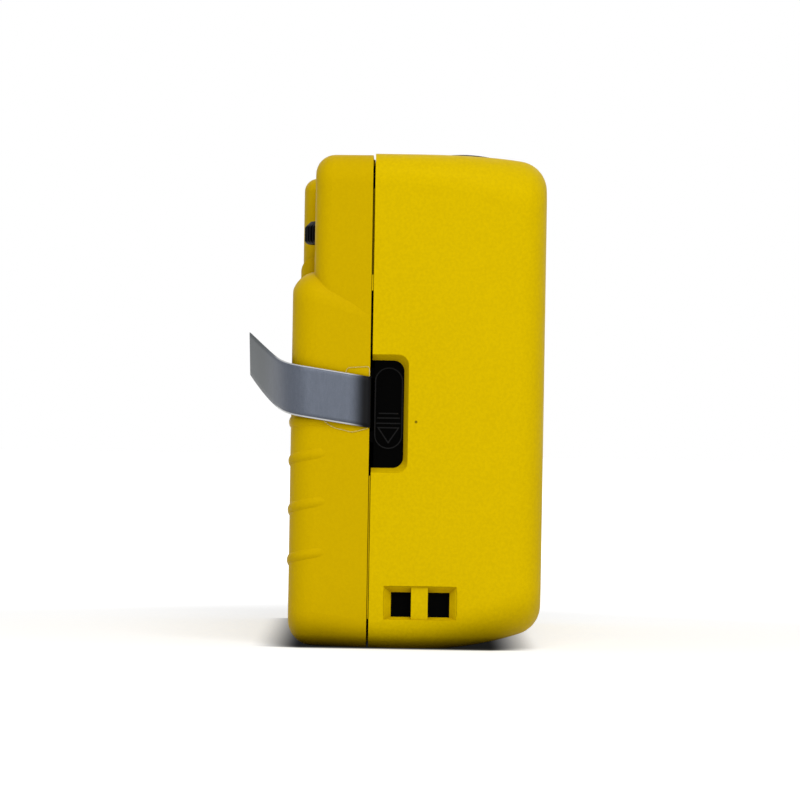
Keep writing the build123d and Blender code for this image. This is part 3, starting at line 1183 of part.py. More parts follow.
def make_rewind_button():
    button = post(RELEASE_X, RELEASE_Y, RELEASE_RADIUS, *RELEASE_SPAN)
    button = fillet(button.edges().sort_by(Axis.Z)[0], RELEASE_ROUND)
    return button + post(RELEASE_X, RELEASE_Y, *RELEASE_FLANGE)


def make_rewind_button_spring():
    washer = post(RELEASE_X, RELEASE_Y, WASHER_OUTER, *WASHER_Z)
    washer = washer - post(RELEASE_X, RELEASE_Y, WASHER_INNER, 3.0, 5.0)
    return washer - box(*WASHER_GAP)


# Door latch
LATCH_PLATE = (-56.05, -54.95, 0.5, 5.7, 21.2, 41.2)
MARK_X, MARK_Y, MARK_SUNK, MARK_PROUD = -56.0, -3.8, 0.05, 0.15
SLOT_PROUD, SLOT_Z, SLOT_LENGTH, SLOT_WIDTH, SLOT_LINE = 0.2, 31.5, 10.7, 3.7, 0.15
MARK_BARS, MARK_BAR_HEIGHT = ((30.8, 2.6), (30.2, 3.0), (29.5, 3.2)), 0.16
TRIANGLE_OUTER = ((-5.3, 29.0), (-2.3, 29.0), (MARK_Y, 26.8))
TRIANGLE_INNER = ((-5.0, 28.84), (-2.6, 28.84), (MARK_Y, 27.1))
HOOK_X, HOOK_ARM_Y, HOOK_TIP_Y = (-55.6, -54.95), (5.6, 8.4), (7.3, 8.4)
HOOK_PLACES, HOOK_ARM_HEIGHT, HOOK_TIP_HEIGHT = (27.0, 35.4), 1.4, 1.2
SPRING_FOLDS = ((2.0, 41.3), (4.4, 41.9), (2.0, 43.1), (4.4, 44.3), (2.0, 45.5), (3.6, 46.6))
FOLD_THICKNESS, FOLD_X, FOLD_WIDTH = 0.3, -55.9, 0.7


def latch_mark(sketch, proud):
    """Raised mark on the outer face of the latch plate, drawn in Y and Z."""
    plane = Plane(origin=(MARK_X, 0, 0), x_dir=(0, -1, 0), z_dir=(-1, 0, 0))
    return extrude(plane * sketch, MARK_SUNK + proud)


def latch_marks():
    """Thin stadium, three bars and a triangle that points down, the way the plate slides."""
    line = 2 * SLOT_LINE
    stadium = SlotOverall(SLOT_LENGTH, SLOT_WIDTH) - SlotOverall(SLOT_LENGTH - line, SLOT_WIDTH - line)
    marks = [latch_mark(Pos(MARK_Y, SLOT_Z) * Rot(0, 0, 90) * stadium, SLOT_PROUD)]
    for z, width in MARK_BARS:
        marks.append(latch_mark(Pos(MARK_Y, z) * Rectangle(width, MARK_BAR_HEIGHT), MARK_PROUD))
    outer, inner = [
        make_face(Polyline(*corners, close=True).edges())
        for corners in (TRIANGLE_OUTER, TRIANGLE_INNER)
    ]
    return marks + [latch_mark(outer - inner, MARK_PROUD)]


def make_door_latch():
    """Sliding plate with two hooks that hold the catches of the rear cover."""
    plate = box(*LATCH_PLATE) + latch_marks()
    for z in HOOK_PLACES:
        tip = z + HOOK_ARM_HEIGHT
        plate = plate + box(*HOOK_X, *HOOK_ARM_Y, z, tip)
        plate = plate + box(*HOOK_X, *HOOK_TIP_Y, tip - 0.1, tip + HOOK_TIP_HEIGHT - 0.1)
    return plate


def make_latch_spring():
    """Folded strip that pushes the latch back up from its upper end."""
    strip = trace(Polyline(*SPRING_FOLDS), line_width=FOLD_THICKNESS)
    return extrude(side_plane(FOLD_X) * strip, FOLD_WIDTH)


# Seal strip
TAB_WIDTH = 6.65
TAB_RISE = math.radians(8.4)
TAB_TILT = math.radians(6.7)
TAB_RADIUS = 6.1
TAB_TURN = math.radians(78.0)
TAB_FLAT = 5.9
TAB_LENGTH = 32.0
TAB_START = (-58.2, 6.2, 28.9)
TAB_THICKNESS = 0.15
TAB_STEPS = 16
TAB_KEEP = (-60.0, -30.0, SEAM_Y + SEAM_GAP / 2, 30.0, 20.0, 50.0)


def tab_point(along, across):
    """Point of the strip, rolled round a slanting line behind its flat start."""
    y = along * math.cos(TAB_RISE) - across * math.sin(TAB_RISE)
    z = along * math.sin(TAB_RISE) + across * math.cos(TAB_RISE)
    ahead = y * math.cos(TAB_TILT) - z * math.sin(TAB_TILT)
    beside = y * math.sin(TAB_TILT) + z * math.cos(TAB_TILT)
    inward = 0.0
    rolled = ahead - TAB_FLAT
    if rolled > 0:
        angle = min(rolled / TAB_RADIUS, TAB_TURN)
        rest = rolled - angle * TAB_RADIUS
        inward = TAB_RADIUS * (1 - math.cos(angle)) + rest * math.sin(angle)
        ahead = TAB_FLAT + TAB_RADIUS * math.sin(angle) + rest * math.cos(angle)
    y = ahead * math.cos(TAB_TILT) + beside * math.sin(TAB_TILT)
    z = beside * math.cos(TAB_TILT) - ahead * math.sin(TAB_TILT)
    start_x, start_y, start_z = TAB_START
    return (start_x + inward, start_y + y, start_z + z)


def make_seal_tab():
    lengths = [TAB_LENGTH * i / TAB_STEPS for i in range(TAB_STEPS + 1)]
    lower, upper = [
        Edge.make_spline([tab_point(s, across) for s in lengths]) for across in (0.0, TAB_WIDTH)
    ]
    strip = thicken(Face.make_surface_from_curves(lower, upper), TAB_THICKNESS)
    return strip & box(*TAB_KEEP)


NODES = {
    "front_cover": make_front_cover,
    "rear_cover": make_rear_cover,
    "chassis": make_chassis,
    "light_baffle": make_light_baffle,
    "thumbwheel": make_thumbwheel,
    "take_up_spool": make_take_up_spool,
    "sprocket": make_sprocket,
    "counter_dial": make_counter_dial,
    "counter_window": make_counter_window,
    "wheel_pawl": make_wheel_pawl,
    "lens_bezel": make_lens_bezel,
    "front_lens": make_front_lens,
    "rear_lens": make_rear_lens,
    "lens_holder": make_lens_holder,
    "aperture_plate": make_aperture_plate,
    "shutter_plate": make_shutter_plate,
    "shutter_blade": make_shutter_blade,
    "shutter_spring": make_shutter_spring,
    "viewfinder_body": make_viewfinder_body,
    "viewfinder_window": make_viewfinder_window,
    "eyepiece_lens": make_eyepiece_lens,
    "flash_window": make_flash_window,
    "flash_reflector": make_flash_reflector,
    "flash_tube": make_flash_tube,
    "flash_board": make_flash_board,
    "flash_capacitor": make_flash_capacitor,
    "flash_transformer": make_flash_transformer,
    "ready_lamp": make_ready_lamp,
    "flash_switch": make_flash_switch,
    "battery": make_battery,
    "battery_contacts": make_battery_contacts,
    "battery_door": make_battery_door,
    "battery_door_pin": make_battery_door_pin,
    "shutter_button": make_shutter_button,
    "release_rod": make_release_rod,
    "button_spring": make_button_spring,
    "rewind_bush": make_rewind_bush,
    "rewind_shaft": make_rewind_shaft,
    "rewind_lever": make_rewind_lever,
    "rewind_knob": make_rewind_knob,
    "cassette_shell": make_cassette_shell,
    "cassette_spool": make_cassette_spool,
    "film_roll": make_film_roll,
    "film_leader": make_film_leader,
    "pressure_plate": make_pressure_plate,
    "plate_spring": make_plate_spring,
    "film_window": make_film_window,
    "seal_foam": make_seal_foam,
    "hinge_pin": make_hinge_pin,
    "screws": make_screws,
    "rewind_button": make_rewind_button,
    "rewind_button_spring": make_rewind_button_spring,
    "door_latch": make_door_latch,
    "latch_spring": make_latch_spring,
    "seal_tab": make_seal_tab,
}

for node, make in NODES.items():
    export_step(make(), f"parts/{node}.step")
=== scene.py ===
# %% [markdown]
# # A yellow reusable film camera, seen from its right-hand side
#
# The solids of the camera come in as a fixed frame: every one already stands in its place, in metres.
# This lesson dresses them. It gives each one a material made of nodes, builds the thin pieces that a
# solid model draws too stiffly, and sets up the camera, the light and the floor.

# %% Load the frame
import bpy
import bmesh
import math
from mathutils import Matrix, Vector


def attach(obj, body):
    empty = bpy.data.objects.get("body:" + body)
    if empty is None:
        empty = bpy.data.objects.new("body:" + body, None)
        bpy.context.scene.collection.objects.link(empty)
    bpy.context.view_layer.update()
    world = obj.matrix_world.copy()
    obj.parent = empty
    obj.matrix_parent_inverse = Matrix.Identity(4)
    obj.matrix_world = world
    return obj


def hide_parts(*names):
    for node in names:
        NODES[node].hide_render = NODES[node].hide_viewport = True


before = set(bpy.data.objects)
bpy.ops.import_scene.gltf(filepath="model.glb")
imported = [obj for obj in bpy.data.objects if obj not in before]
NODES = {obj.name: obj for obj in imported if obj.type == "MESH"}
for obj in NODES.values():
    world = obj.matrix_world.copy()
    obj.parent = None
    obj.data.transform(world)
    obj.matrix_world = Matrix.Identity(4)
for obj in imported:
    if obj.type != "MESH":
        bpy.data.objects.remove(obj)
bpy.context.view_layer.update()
print("pieces in the frame:", len(NODES))

# %% [markdown]
# ## The camera
#
# The photograph was taken level, square to the side, from about a metre. The picture leans by
# almost one degree, so the view is rolled about its own axis. An orthographic view would be simpler,
# but it would hide that the near edges look a little larger. A long lens keeps the sides parallel
# enough and still shows that.

# %% The camera
VIEW_PLACE = (-0.958, 0.00232, 0.0326)
VIEW_LENS = 308.6
VIEW_SENSOR = 36.0
VIEW_ROLL = math.radians(0.93)
NEAREST, FARTHEST = 0.01, 20.0
LOOK_ALONG_X = Matrix(((0, 0, -1), (-1, 0, 0), (0, 1, 0))).to_4x4()

view = bpy.data.cameras.new("view")
view.lens = VIEW_LENS
view.sensor_width = VIEW_SENSOR
view.clip_start = NEAREST
view.clip_end = FARTHEST
viewer = bpy.data.objects.new("viewer", view)
bpy.context.scene.collection.objects.link(viewer)
viewer.matrix_world = (
    Matrix.Translation(VIEW_PLACE) @ LOOK_ALONG_X @ Matrix.Rotation(VIEW_ROLL, 4, "Z")
)
bpy.context.scene.camera = viewer
print("lens", VIEW_LENS, "mm, roll", round(math.degrees(VIEW_ROLL), 2), "degrees")

# %% [markdown]
# ## Writing materials as sums
#
# A material in Blender is a net of small boxes joined by wires. Drawing it by hand is slow to read,
# so here one small class stands for a wire. Adding or multiplying two wires makes the Math node that
# does it, and a mask can be written as plain arithmetic.

# %% A wire that can be added and multiplied
class Wire:
    """One output in a material; sums and products of wires make Math nodes."""

    def __init__(self, finish, socket):
        self.finish = finish
        self.socket = socket

    def sum_with(self, operation, first, second):
        settings = {"operation": operation}
        return self.finish.node("ShaderNodeMath", settings, {0: first, 1: second})

    def __add__(self, other):
        return self.sum_with("ADD", self, other)

    def __radd__(self, other):
        return self.sum_with("ADD", other, self)

    def __sub__(self, other):
        return self.sum_with("SUBTRACT", self, other)

    def __rsub__(self, other):
        return self.sum_with("SUBTRACT", other, self)

    def __mul__(self, other):
        return self.sum_with("MULTIPLY", self, other)

    def __rmul__(self, other):
        return self.sum_with("MULTIPLY", other, self)


print("a wire knows:", [name for name in dir(Wire) if name.endswith(("add__", "sub__", "mul__"))])


# %% A net of nodes
class Net:
    """The nodes of a material or of the world, all made by one method."""

    def __init__(self, owner):
        owner.use_nodes = True
        self.tree = owner.node_tree
        self.tree.nodes.clear()

    def node(self, kind, settings=None, sockets=None, out=0):
        """Adds a node: its settings first, then the values or wires of its sockets."""
        made = self.tree.nodes.new(kind)
        for key, value in (settings or {}).items():
            setattr(made, key, value)
        for key, value in (sockets or {}).items():
            self.plug(made.inputs[key], value)
        return Wire(self, made.outputs[out]) if made.outputs else None

    def plug(self, socket, value):
        if isinstance(value, Wire):
            self.tree.links.new(value.socket, socket)
        else:
            socket.default_value = value

    def place(self, scale=(1.0, 1.0, 1.0), centre=(0.0, 0.0, 0.0), turn=(0.0, 0.0, 0.0)):
        """Object coordinates in metres, centred, turned and stretched by a Mapping node."""
        spot = self.node("ShaderNodeTexCoord", out="Object")
        sockets = {"Vector": spot, "Location": centre, "Scale": scale, "Rotation": turn}
        return self.node("ShaderNodeMapping", {"vector_type": "TEXTURE"}, sockets)

    def noise(self, spot, scale, detail, roughness):
        """Soft random cloud from 0 to 1; scale counts its lumps per metre."""
        sockets = {"Vector": spot, "Scale": scale, "Detail": detail, "Roughness": roughness}
        return self.node("ShaderNodeTexNoise", {}, sockets)

    def fade(self, value, low, high, start=0.0, end=1.0):
        """Moves a value smoothly from start to end as it passes from low to high."""
        settings = {"interpolation_type": "SMOOTHSTEP"}
        sockets = {
            "Value": value, "From Min": low, "From Max": high, "To Min": start, "To Max": end,
        }
        return self.node("ShaderNodeMapRange", settings, sockets)

    def blend(self, factor, first, second):
        """Mixes two colours by a factor."""
        sockets = {0: factor, 6: self.colour(first), 7: self.colour(second)}
        return self.node("ShaderNodeMix", {"data_type": "RGBA"}, sockets, out=2)

    def colour(self, value):
        return value if isinstance(value, Wire) else (*value, 1.0)

    def bump(self, height, distance, strength, below=None):
        """Turns a height of 0 to 1 into relief as deep as distance, in metres."""
        sockets = {"Height": height, "Distance": distance, "Strength": strength}
        if below is not None:
            sockets["Normal"] = below
        return self.node("ShaderNodeBump", {}, sockets)

    def seen(self):
        """1 where the camera sees the surface, straight, in a reflection or through glass."""
        rays = self.node("ShaderNodeLightPath").socket.node.outputs
        straight, mirrored, through = [
            Wire(self, rays[name])
            for name in ("Is Camera Ray", "Is Glossy Ray", "Is Transmission Ray")
        ]
        return self.fade(straight + mirrored + through, 0.0, 1.0)


print("a net can:", [name for name in vars(Net) if not name.startswith("_")])


# %% A finish: one material and the nodes in it
class Finish(Net):
    """A material; close() joins its shader to the output."""

    def __init__(self, name):
        self.material = bpy.data.materials.new(name)
        super().__init__(self.material)

    def spot_mask(self, centre, radius, soft):
        """1 within a radius of a point of the object, 0 outside."""
        centred = self.place(centre=centre)
        away = self.node("ShaderNodeVectorMath", {"operation": "LENGTH"}, {0: centred}, out="Value")
        return self.fade(away, radius, radius + soft, 1.0, 0.0)

    def along(self, axis):
        """The place of a point along one axis, in metres."""
        spot = self.node("ShaderNodeTexCoord", out="Object")
        return self.node("ShaderNodeSeparateXYZ", {}, {0: spot}, out=axis)

    def close(self, sockets):
        shader = self.node("ShaderNodeBsdfPrincipled", {}, sockets)
        self.node("ShaderNodeOutputMaterial", {}, {"Surface": shader})
        return self.material


print("a finish also has:", [name for name in vars(Finish) if not name.startswith("_")])


# %% Colours are written as a screen shows them
def shade(red, green, blue):
    """A colour read from 0 to 255 on a screen, as the linear values that light uses."""
    def linear(level):
        level = level / 255
        return level / 12.92 if level <= 0.04045 else ((level + 0.055) / 1.055) ** 2.4
    return linear(red), linear(green), linear(blue)


BLACK, WHITE = (0.0, 0.0, 0.0), (1.0, 1.0, 1.0)
DEEP_YELLOW, BRIGHT_YELLOW = shade(221, 186, 0), shade(232, 198, 0)
print("bright yellow in linear light:", [round(v, 3) for v in BRIGHT_YELLOW])

# %% The shelf of finishes
FINISHES = {}


def shelve(name, material):
    """Keeps a material under the name that the frame uses for it."""
    FINISHES[name] = material
    print(name, "has", len(material.node_tree.nodes), "nodes")


# %% [markdown]
# ## Moulded plastic
#
# The case is moulded in one colour that goes right through. The mould was spark-eroded, which leaves
# a grain of about a fifth of a millimetre, and the wall cools unevenly, which leaves shallow waves.
# Handling polishes it in patches, so its gloss isn't even. One flat colour would look like paper, and
# a picture wrapped round the case would show where it joins. So colour, gloss and relief each follow
# a noise of their own size. The rear cover is painted a touch deeper, as shade for its slanting side.
# In a groove, light bounces from yellow to yellow and gets browner; this shade is painted into the
# colour by an Ambient Occlusion node, which tells how open the air is around a point.

# %% The yellow case
SEAM_Y = 0.00615
SEAM_BLUR = 0.0001
# painted shade: the rear cover is coloured a touch deeper than the front one
REAR_SHADE_TONE, REAR_SHADE_SHARE = shade(205, 166, 0), 0.5
SPECK_PLACE = (-0.058, 0.00017, 0.02975)
SPECK_RADIUS, SPECK_BLUR = 0.00012, 0.00012
SPECK_TONE, SPECK_SHARE = shade(92, 72, 10), 0.85
# painted shade in grooves and crevices: how far to look for walls, its tone and its share
GROOVE_SHADE_REACH = 0.0016
GROOVE_SHADE_TONE, GROOVE_SHADE_SHARE = shade(104, 74, 0), 0.75


def moulded_yellow():
    finish = Finish("yellow_plastic")
    spot = finish.place()
    cloud = finish.noise(spot, scale=38.0, detail=3.0, roughness=0.55)
    mottle = finish.noise(spot, scale=2400.0, detail=3.0, roughness=0.6)
    grain = finish.noise(spot, scale=5200.0, detail=2.0, roughness=0.6)
    wave = finish.noise(spot, scale=95.0, detail=1.0, roughness=0.4)
    rub = finish.fade(finish.noise(spot, scale=140.0, detail=4.0, roughness=0.65), 0.42, 0.66)
    patches = 0.3 * cloud + 0.7 * finish.fade(mottle, 0.3, 0.7)
    body = finish.blend(patches, DEEP_YELLOW, BRIGHT_YELLOW)
    speck = finish.spot_mask(SPECK_PLACE, SPECK_RADIUS, SPECK_BLUR)
    body = finish.blend(SPECK_SHARE * speck, body, SPECK_TONE)
    # painted shade on the rear cover, behind the seam
    rear = finish.fade(finish.along("Y"), SEAM_Y - SEAM_BLUR, SEAM_Y + SEAM_BLUR)
    body = finish.blend(REAR_SHADE_SHARE * rear, body, REAR_SHADE_TONE)
    # painted shade: ambient occlusion turns the colour browner where the air is closed in
    groove = {"Distance": GROOVE_SHADE_REACH}
    open_air = finish.node("ShaderNodeAmbientOcclusion", {"samples": 8}, groove, out="AO")
    body = finish.blend(GROOVE_SHADE_SHARE - GROOVE_SHADE_SHARE * open_air, body, GROOVE_SHADE_TONE)
    relief = finish.bump(wave, distance=0.00012, strength=0.35)
    relief = finish.bump(grain, distance=0.000025, strength=0.6, below=relief)
    return finish.close({
        "Base Color": body,
        "Roughness": 0.44 + 0.10 * rub + 0.06 * mottle,
        "Normal": relief,
        "IOR": 1.2,
        "Specular IOR Level": 0.4,
        "Specular Tint": (1.0, 0.86, 0.1, 1.0),
    })


shelve("yellow_plastic", moulded_yellow())

# %% [markdown]
# ## Black plastics
#
# Inside, the film chamber has to swallow light, so it is moulded matt with a coarse grain. The parts
# that fingers touch are smoother. Both collect a little pale dust, more on what faces up. A flat
# near-black would look like a hole, so one recipe with a few arguments makes all three blacks. On the
# latch it also paints what stands proud a lighter grey.

# %% The matt inside and the satin controls
LATCH_FACE_X = -0.05605
RAISED_FROM, RAISED_TO = 0.00004, 0.0001
PROUD_GREY, PROUD_SHARE = shade(70, 70, 72), 0.22
DUST_TONE = shade(120, 118, 110)


def moulded_black(name, tone, gloss, grain_depth, shine, dustiness, marks_at=None):
    """Black plastic; marks_at is the X of a face whose raised marks are painted a lighter grey."""
    finish = Finish(name)
    spot = finish.place()
    grain = finish.noise(spot, scale=3600.0, detail=3.0, roughness=0.6)
    patch = finish.noise(spot, scale=160.0, detail=3.0, roughness=0.55)
    dust = finish.fade(finish.noise(spot, scale=2300.0, detail=2.0, roughness=0.7), 0.62, 0.75)
    up = finish.node("ShaderNodeNewGeometry", out="Normal")
    up = finish.node("ShaderNodeSeparateXYZ", {}, {0: up}, out="Z")
    lying = finish.fade(up, 0.2, 1.0)
    dark = finish.blend(patch, tone, tuple(1.6 * v for v in tone))
    dusty = finish.blend(dustiness * dust * (0.2 + 0.8 * lying), dark, DUST_TONE)
    if marks_at is not None:
        # the marks that stand proud of the face are painted a lighter grey
        proud = finish.fade(finish.along("X"), marks_at - RAISED_FROM, marks_at - RAISED_TO)
        dusty = finish.blend(PROUD_SHARE * proud, dusty, PROUD_GREY)
    return finish.close({
        "Base Color": dusty,
        "Roughness": gloss + 0.12 * patch + 0.1 * dust,
        "Normal": finish.bump(grain, grain_depth, strength=0.6),
        "IOR": 1.2,
        "Specular IOR Level": shine,
    })


BLACKS = {
    "black_plastic": {
        "tone": shade(6, 6, 6), "gloss": 0.55, "grain_depth": 0.00004, "shine": 0.08, "dustiness": 0.03,
    },
    "latch_plastic": {
        "tone": shade(2, 2, 2), "gloss": 0.42, "grain_depth": 0.00001, "shine": 0.04, "dustiness": 0.004,
        "marks_at": LATCH_FACE_X,
    },
    "control_black": {
        "tone": shade(3, 3, 4), "gloss": 0.42, "grain_depth": 0.00001, "shine": 0.06, "dustiness": 0.008,
    },
}
for name, recipe in BLACKS.items():
    shelve(name, moulded_black(name, **recipe))

# %% [markdown]
# ## Metals
#
# Springs, pins and screws are bright rolled steel: their gloss runs in fine lines along the metal.
# Anisotropic gloss could draw them, but it needs a tangent on every piece. A stretched noise in the
# relief does the same with less. The transformer is wound with lacquered copper wire, so its lines
# go round it, and the flash's mirror is smooth with the faintest orange peel.

# %% Rolled steel and mirror
def rolled_metal(name, tone, gloss, stretch):
    finish = Finish(name)
    spot = finish.place(scale=stretch)
    lines = finish.noise(spot, scale=2600.0, detail=4.0, roughness=0.6)
    stain = finish.noise(finish.place(), scale=260.0, detail=3.0, roughness=0.6)
    dull = tuple(0.78 * v for v in tone)
    return finish.close({
        "Base Color": finish.blend(finish.fade(stain, 0.45, 0.75), tone, dull),
        "Metallic": 1.0,
        "Roughness": gloss + 0.14 * lines + 0.08 * stain,
        "Normal": finish.bump(lines, distance=0.00001, strength=0.35),
    })


METALS = {
    "steel": {"tone": shade(188, 189, 192), "gloss": 0.22, "stretch": (1.0, 1.0, 0.05)},
    "mirror_metal": {"tone": shade(235, 236, 238), "gloss": 0.06, "stretch": (1.0, 1.0, 1.0)},
}
for name, recipe in METALS.items():
    shelve(name, rolled_metal(name, **recipe))


# %% Wound copper
def wound_copper():
    finish = Finish("copper")
    spot = finish.place()
    turns = finish.node(
        "ShaderNodeTexWave",
        {"wave_type": "BANDS", "bands_direction": "X", "wave_profile": "SIN"},
        {"Vector": spot, "Scale": 1200.0, "Distortion": 0.6, "Detail": 1.0},
        out="Fac",
    )
    shadowed = finish.blend(turns, shade(88, 44, 20), shade(196, 120, 66))
    return finish.close({
        "Base Color": shadowed,
        "Metallic": 0.85,
        "Roughness": 0.28 + 0.2 * (1.0 - turns),
        "Normal": finish.bump(turns, distance=0.00008, strength=0.7),
    })


shelve("copper", wound_copper())

# %% [markdown]
# ## Clear pieces
#
# The finder, the flash window and the lenses are clear mouldings. A see-through surface with a gloss
# would be quick, but it wouldn't bend the view as a thick pane does, so they transmit light with the
# real index. Real ones carry a few fine hairline marks and a breath of dust, which show as changes in
# roughness, not in colour.

# %% Clear plastic and lens glass
def clear(name, tint, index):
    finish = Finish(name)
    spot = finish.place()
    smear = finish.fade(finish.noise(spot, scale=180.0, detail=4.0, roughness=0.7), 0.5, 0.75)
    drawn_out = finish.place(scale=(1.0, 1.0, 0.08), turn=(0.0, 0.5, 0.0))
    hair = finish.noise(drawn_out, scale=2200.0, detail=2.0, roughness=0.7)
    scratch = finish.fade(hair, 0.68, 0.74)
    return finish.close({
        "Base Color": finish.blend(0.3 * smear, tint, tuple(0.96 * v for v in tint)),
        "Roughness": 0.015 + 0.05 * smear + 0.12 * scratch,
        "Normal": finish.bump(scratch, distance=0.000006, strength=0.4),
        "Transmission Weight": 1.0,
        "IOR": index,
    })


shelve("clear_plastic", clear("clear_plastic", tint=(0.97, 0.98, 0.98), index=1.49))
shelve("lens_glass", clear("lens_glass", tint=(0.95, 0.98, 0.99), index=1.52))

# %% [markdown]
# ## Small finishes of the inside
#
# The sleeve of the cell, the shrink sleeve of the flash capacitor, the painted cassette, the brown
# base of the film, the tinted lamp, the soldered board and the foam of the light seal only show when
# the rear cover is open. Flat colours would nearly do. A short recipe for each costs little and holds
# up from close by, and one recipe serves all that is thin, smooth and a little creased.

# %% Sleeves, paint, film and the lamp
def sleeve(name, tone, gloss):
    finish = Finish(name)
    spot = finish.place()
    crease = finish.noise(finish.place(scale=(0.3, 1.0, 1.0)), scale=520.0, detail=4.0, roughness=0.6)
    stain = finish.noise(spot, scale=210.0, detail=3.0, roughness=0.6)
    worn = tuple(0.7 * v + 0.02 for v in tone)
    return finish.close({
        "Base Color": finish.blend(finish.fade(stain, 0.4, 0.8), tone, worn),
        "Roughness": gloss + 0.15 * stain,
        "Normal": finish.bump(crease, distance=0.00004, strength=0.4),
        "Coat Weight": 0.2,
        "Coat Roughness": 0.2,
    })


SLEEVES = {
    "cell_steel": {"tone": shade(52, 98, 84), "gloss": 0.34},
    "can_sleeve": {"tone": shade(28, 28, 32), "gloss": 0.3},
    "cassette_steel": {"tone": shade(158, 160, 163), "gloss": 0.32},
    "film": {"tone": shade(104, 70, 50), "gloss": 0.22},
    "lamp_red": {"tone": shade(196, 46, 24), "gloss": 0.16},
}
for name, recipe in SLEEVES.items():
    shelve(name, sleeve(name, **recipe))


# %% A soldered board
def soldered_board():
    finish = Finish("board")
    spot = finish.place()
    cells = finish.node(
        "ShaderNodeTexVoronoi", {"feature": "F1", "distance": "CHEBYCHEV"},
        {"Vector": spot, "Scale": 620.0}, out="Distance",
    )
    pads = finish.fade(cells, 0.16, 0.2, 1.0, 0.0)
    tracks = finish.fade(finish.noise(spot, scale=300.0, detail=2.0, roughness=0.4), 0.5, 0.54)
    green = finish.blend(tracks, shade(28, 92, 48), shade(44, 120, 66))
    return finish.close({
        "Base Color": finish.blend(pads, green, shade(190, 190, 186)),
        "Metallic": 0.9 * pads,
        "Roughness": 0.42 - 0.14 * pads,
        "Normal": finish.bump(pads + 0.4 * tracks, distance=0.00006, strength=0.5),
    })


shelve("board", soldered_board())


# %% Foam
def seal_foam():
    finish = Finish("foam")
    spot = finish.place()
    cells = finish.node(
        "ShaderNodeTexVoronoi", {"feature": "F1"}, {"Vector": spot, "Scale": 2600.0}, out="Distance"
    )
    pores = finish.fade(cells, 0.1, 0.5)
    return finish.close({
        "Base Color": finish.blend(pores, shade(6, 6, 6), shade(34, 34, 34)),
        "Roughness": 0.9 - 0.05 * pores,
        "Normal": finish.bump(pores, distance=0.00015, strength=0.8),
        "Specular IOR Level": 0.2,
    })


shelve("foam", seal_foam())

# %% [markdown]
# ## Films of the seal
#
# The seal is a silver film, drawn in one direction when it was made. Shade is painted on it where it
# dips into the seam and towards its far end, which curls away, and highlights are painted along its
# cut edges, where they catch the light. A pattern placed in the room would swim across its curl, so it
# reads the strip's own map, which counts from 0 to 1 along and across. The clear film under it shows
# only as a pale line, half seen through.

# %% The silver film of the seal
DRAWN_DARK, DRAWN_BRIGHT = shade(78, 84, 93), shade(110, 116, 130)
# painted shade for the far and tucked ends, painted highlight for the cut edges
FAR_END_SHADE, CUT_EDGE_HIGHLIGHT, TUCKED_SHADE = shade(46, 54, 51), shade(244, 246, 248), shade(1, 1, 2)


def silver_film():
    """Drawn film: painted shade where it dips into the seam and at its far end, painted highlight along
    its two cut edges.
    """
    finish = Finish("foil")
    spot = finish.place()
    surface = finish.node("ShaderNodeUVMap")
    along = finish.node("ShaderNodeSeparateXYZ", {}, {0: surface}, out="X")
    across = finish.node("ShaderNodeSeparateXYZ", {}, {0: surface}, out="Y")
    flakes = finish.noise(spot, scale=7000.0, detail=2.0, roughness=0.6)
    pulled = finish.place(scale=(1.0, 0.25, 1.0))
    pull = finish.noise(pulled, scale=900.0, detail=4.0, roughness=0.6)
    dent = finish.noise(spot, scale=170.0, detail=2.0, roughness=0.5)
    tone = finish.blend(0.5 * flakes + 0.5 * pull, DRAWN_DARK, DRAWN_BRIGHT)
    # painted shade towards the far end, which curls away behind the case
    tone = finish.blend(finish.fade(along, 0.35, 0.8, 0.0, 0.75), tone, FAR_END_SHADE)
    edge = finish.fade(across, 0.022, 0.034, 1.0, 0.0) + finish.fade(across, 0.975, 0.985, 0.0, 0.6)
    # painted highlight along the two cut edges
    tone = finish.blend(edge * finish.fade(along, 0.42, 0.55, 0.9, 0.0), tone, CUT_EDGE_HIGHLIGHT)
    # painted shade where the strip dips into the seam
    tone = finish.blend(finish.fade(along, 0.1, 0.03, 0.0, 0.99), tone, TUCKED_SHADE)
    return finish.close({
        "Base Color": tone,
        "Metallic": 0.35,
        "Roughness": 0.42 + 0.12 * flakes,
        "Normal": finish.bump(0.8 * dent + 0.2 * pull, distance=0.00005, strength=0.5),
        "Specular IOR Level": 0.15,
    })


shelve("foil", silver_film())

# %% The cut edge of the clear film
EDGE_TONE, EDGE_SHADED = shade(240, 214, 84), 0.9
EDGE_ALPHA = 0.5


def pale_line():
    """The cut edge of a clear film: it scatters some light and lets the rest through."""
    finish = Finish("film_edge")
    stress = finish.noise(finish.place(), scale=900.0, detail=3.0, roughness=0.6)
    return finish.close({
        "Base Color": finish.blend(stress, EDGE_TONE, tuple(EDGE_SHADED * v for v in EDGE_TONE)),
        "Roughness": 0.16 + 0.1 * stress,
        "Alpha": EDGE_ALPHA * (0.7 + 0.6 * stress),
    })


shelve("film_edge", pale_line())
print("finishes:", len(FINISHES))

# %% [markdown]
# ## Dressing the solids
#
# Each piece could be given its material by name. But each solid carries the name of its finish from
# the frame, so one loop hands out the materials and can't forget a piece.

# %% Dress the solids
for name, node in NODES.items():
    slot = node.material_slots[0].material.name.split(".")[0]
    node.data.materials.clear()
    node.data.materials.append(FINISHES[slot])
    print(name, "->", slot)

# %% [markdown]
# ## The torn seal
#
# A strip of silver film seals the latch until the roll is finished. It is stuck down beside the
# latch, leaves the side at a slant and curls away behind the case. A cloth simulation could curl it,
# but never just as the photograph shows it. So it starts as a flat grid, is rolled about a slanting
# line and twisted towards its end, and its stuck end is tucked into the seam. A Solidify modifier
# gives it its real thickness at the end, so the two edges show.

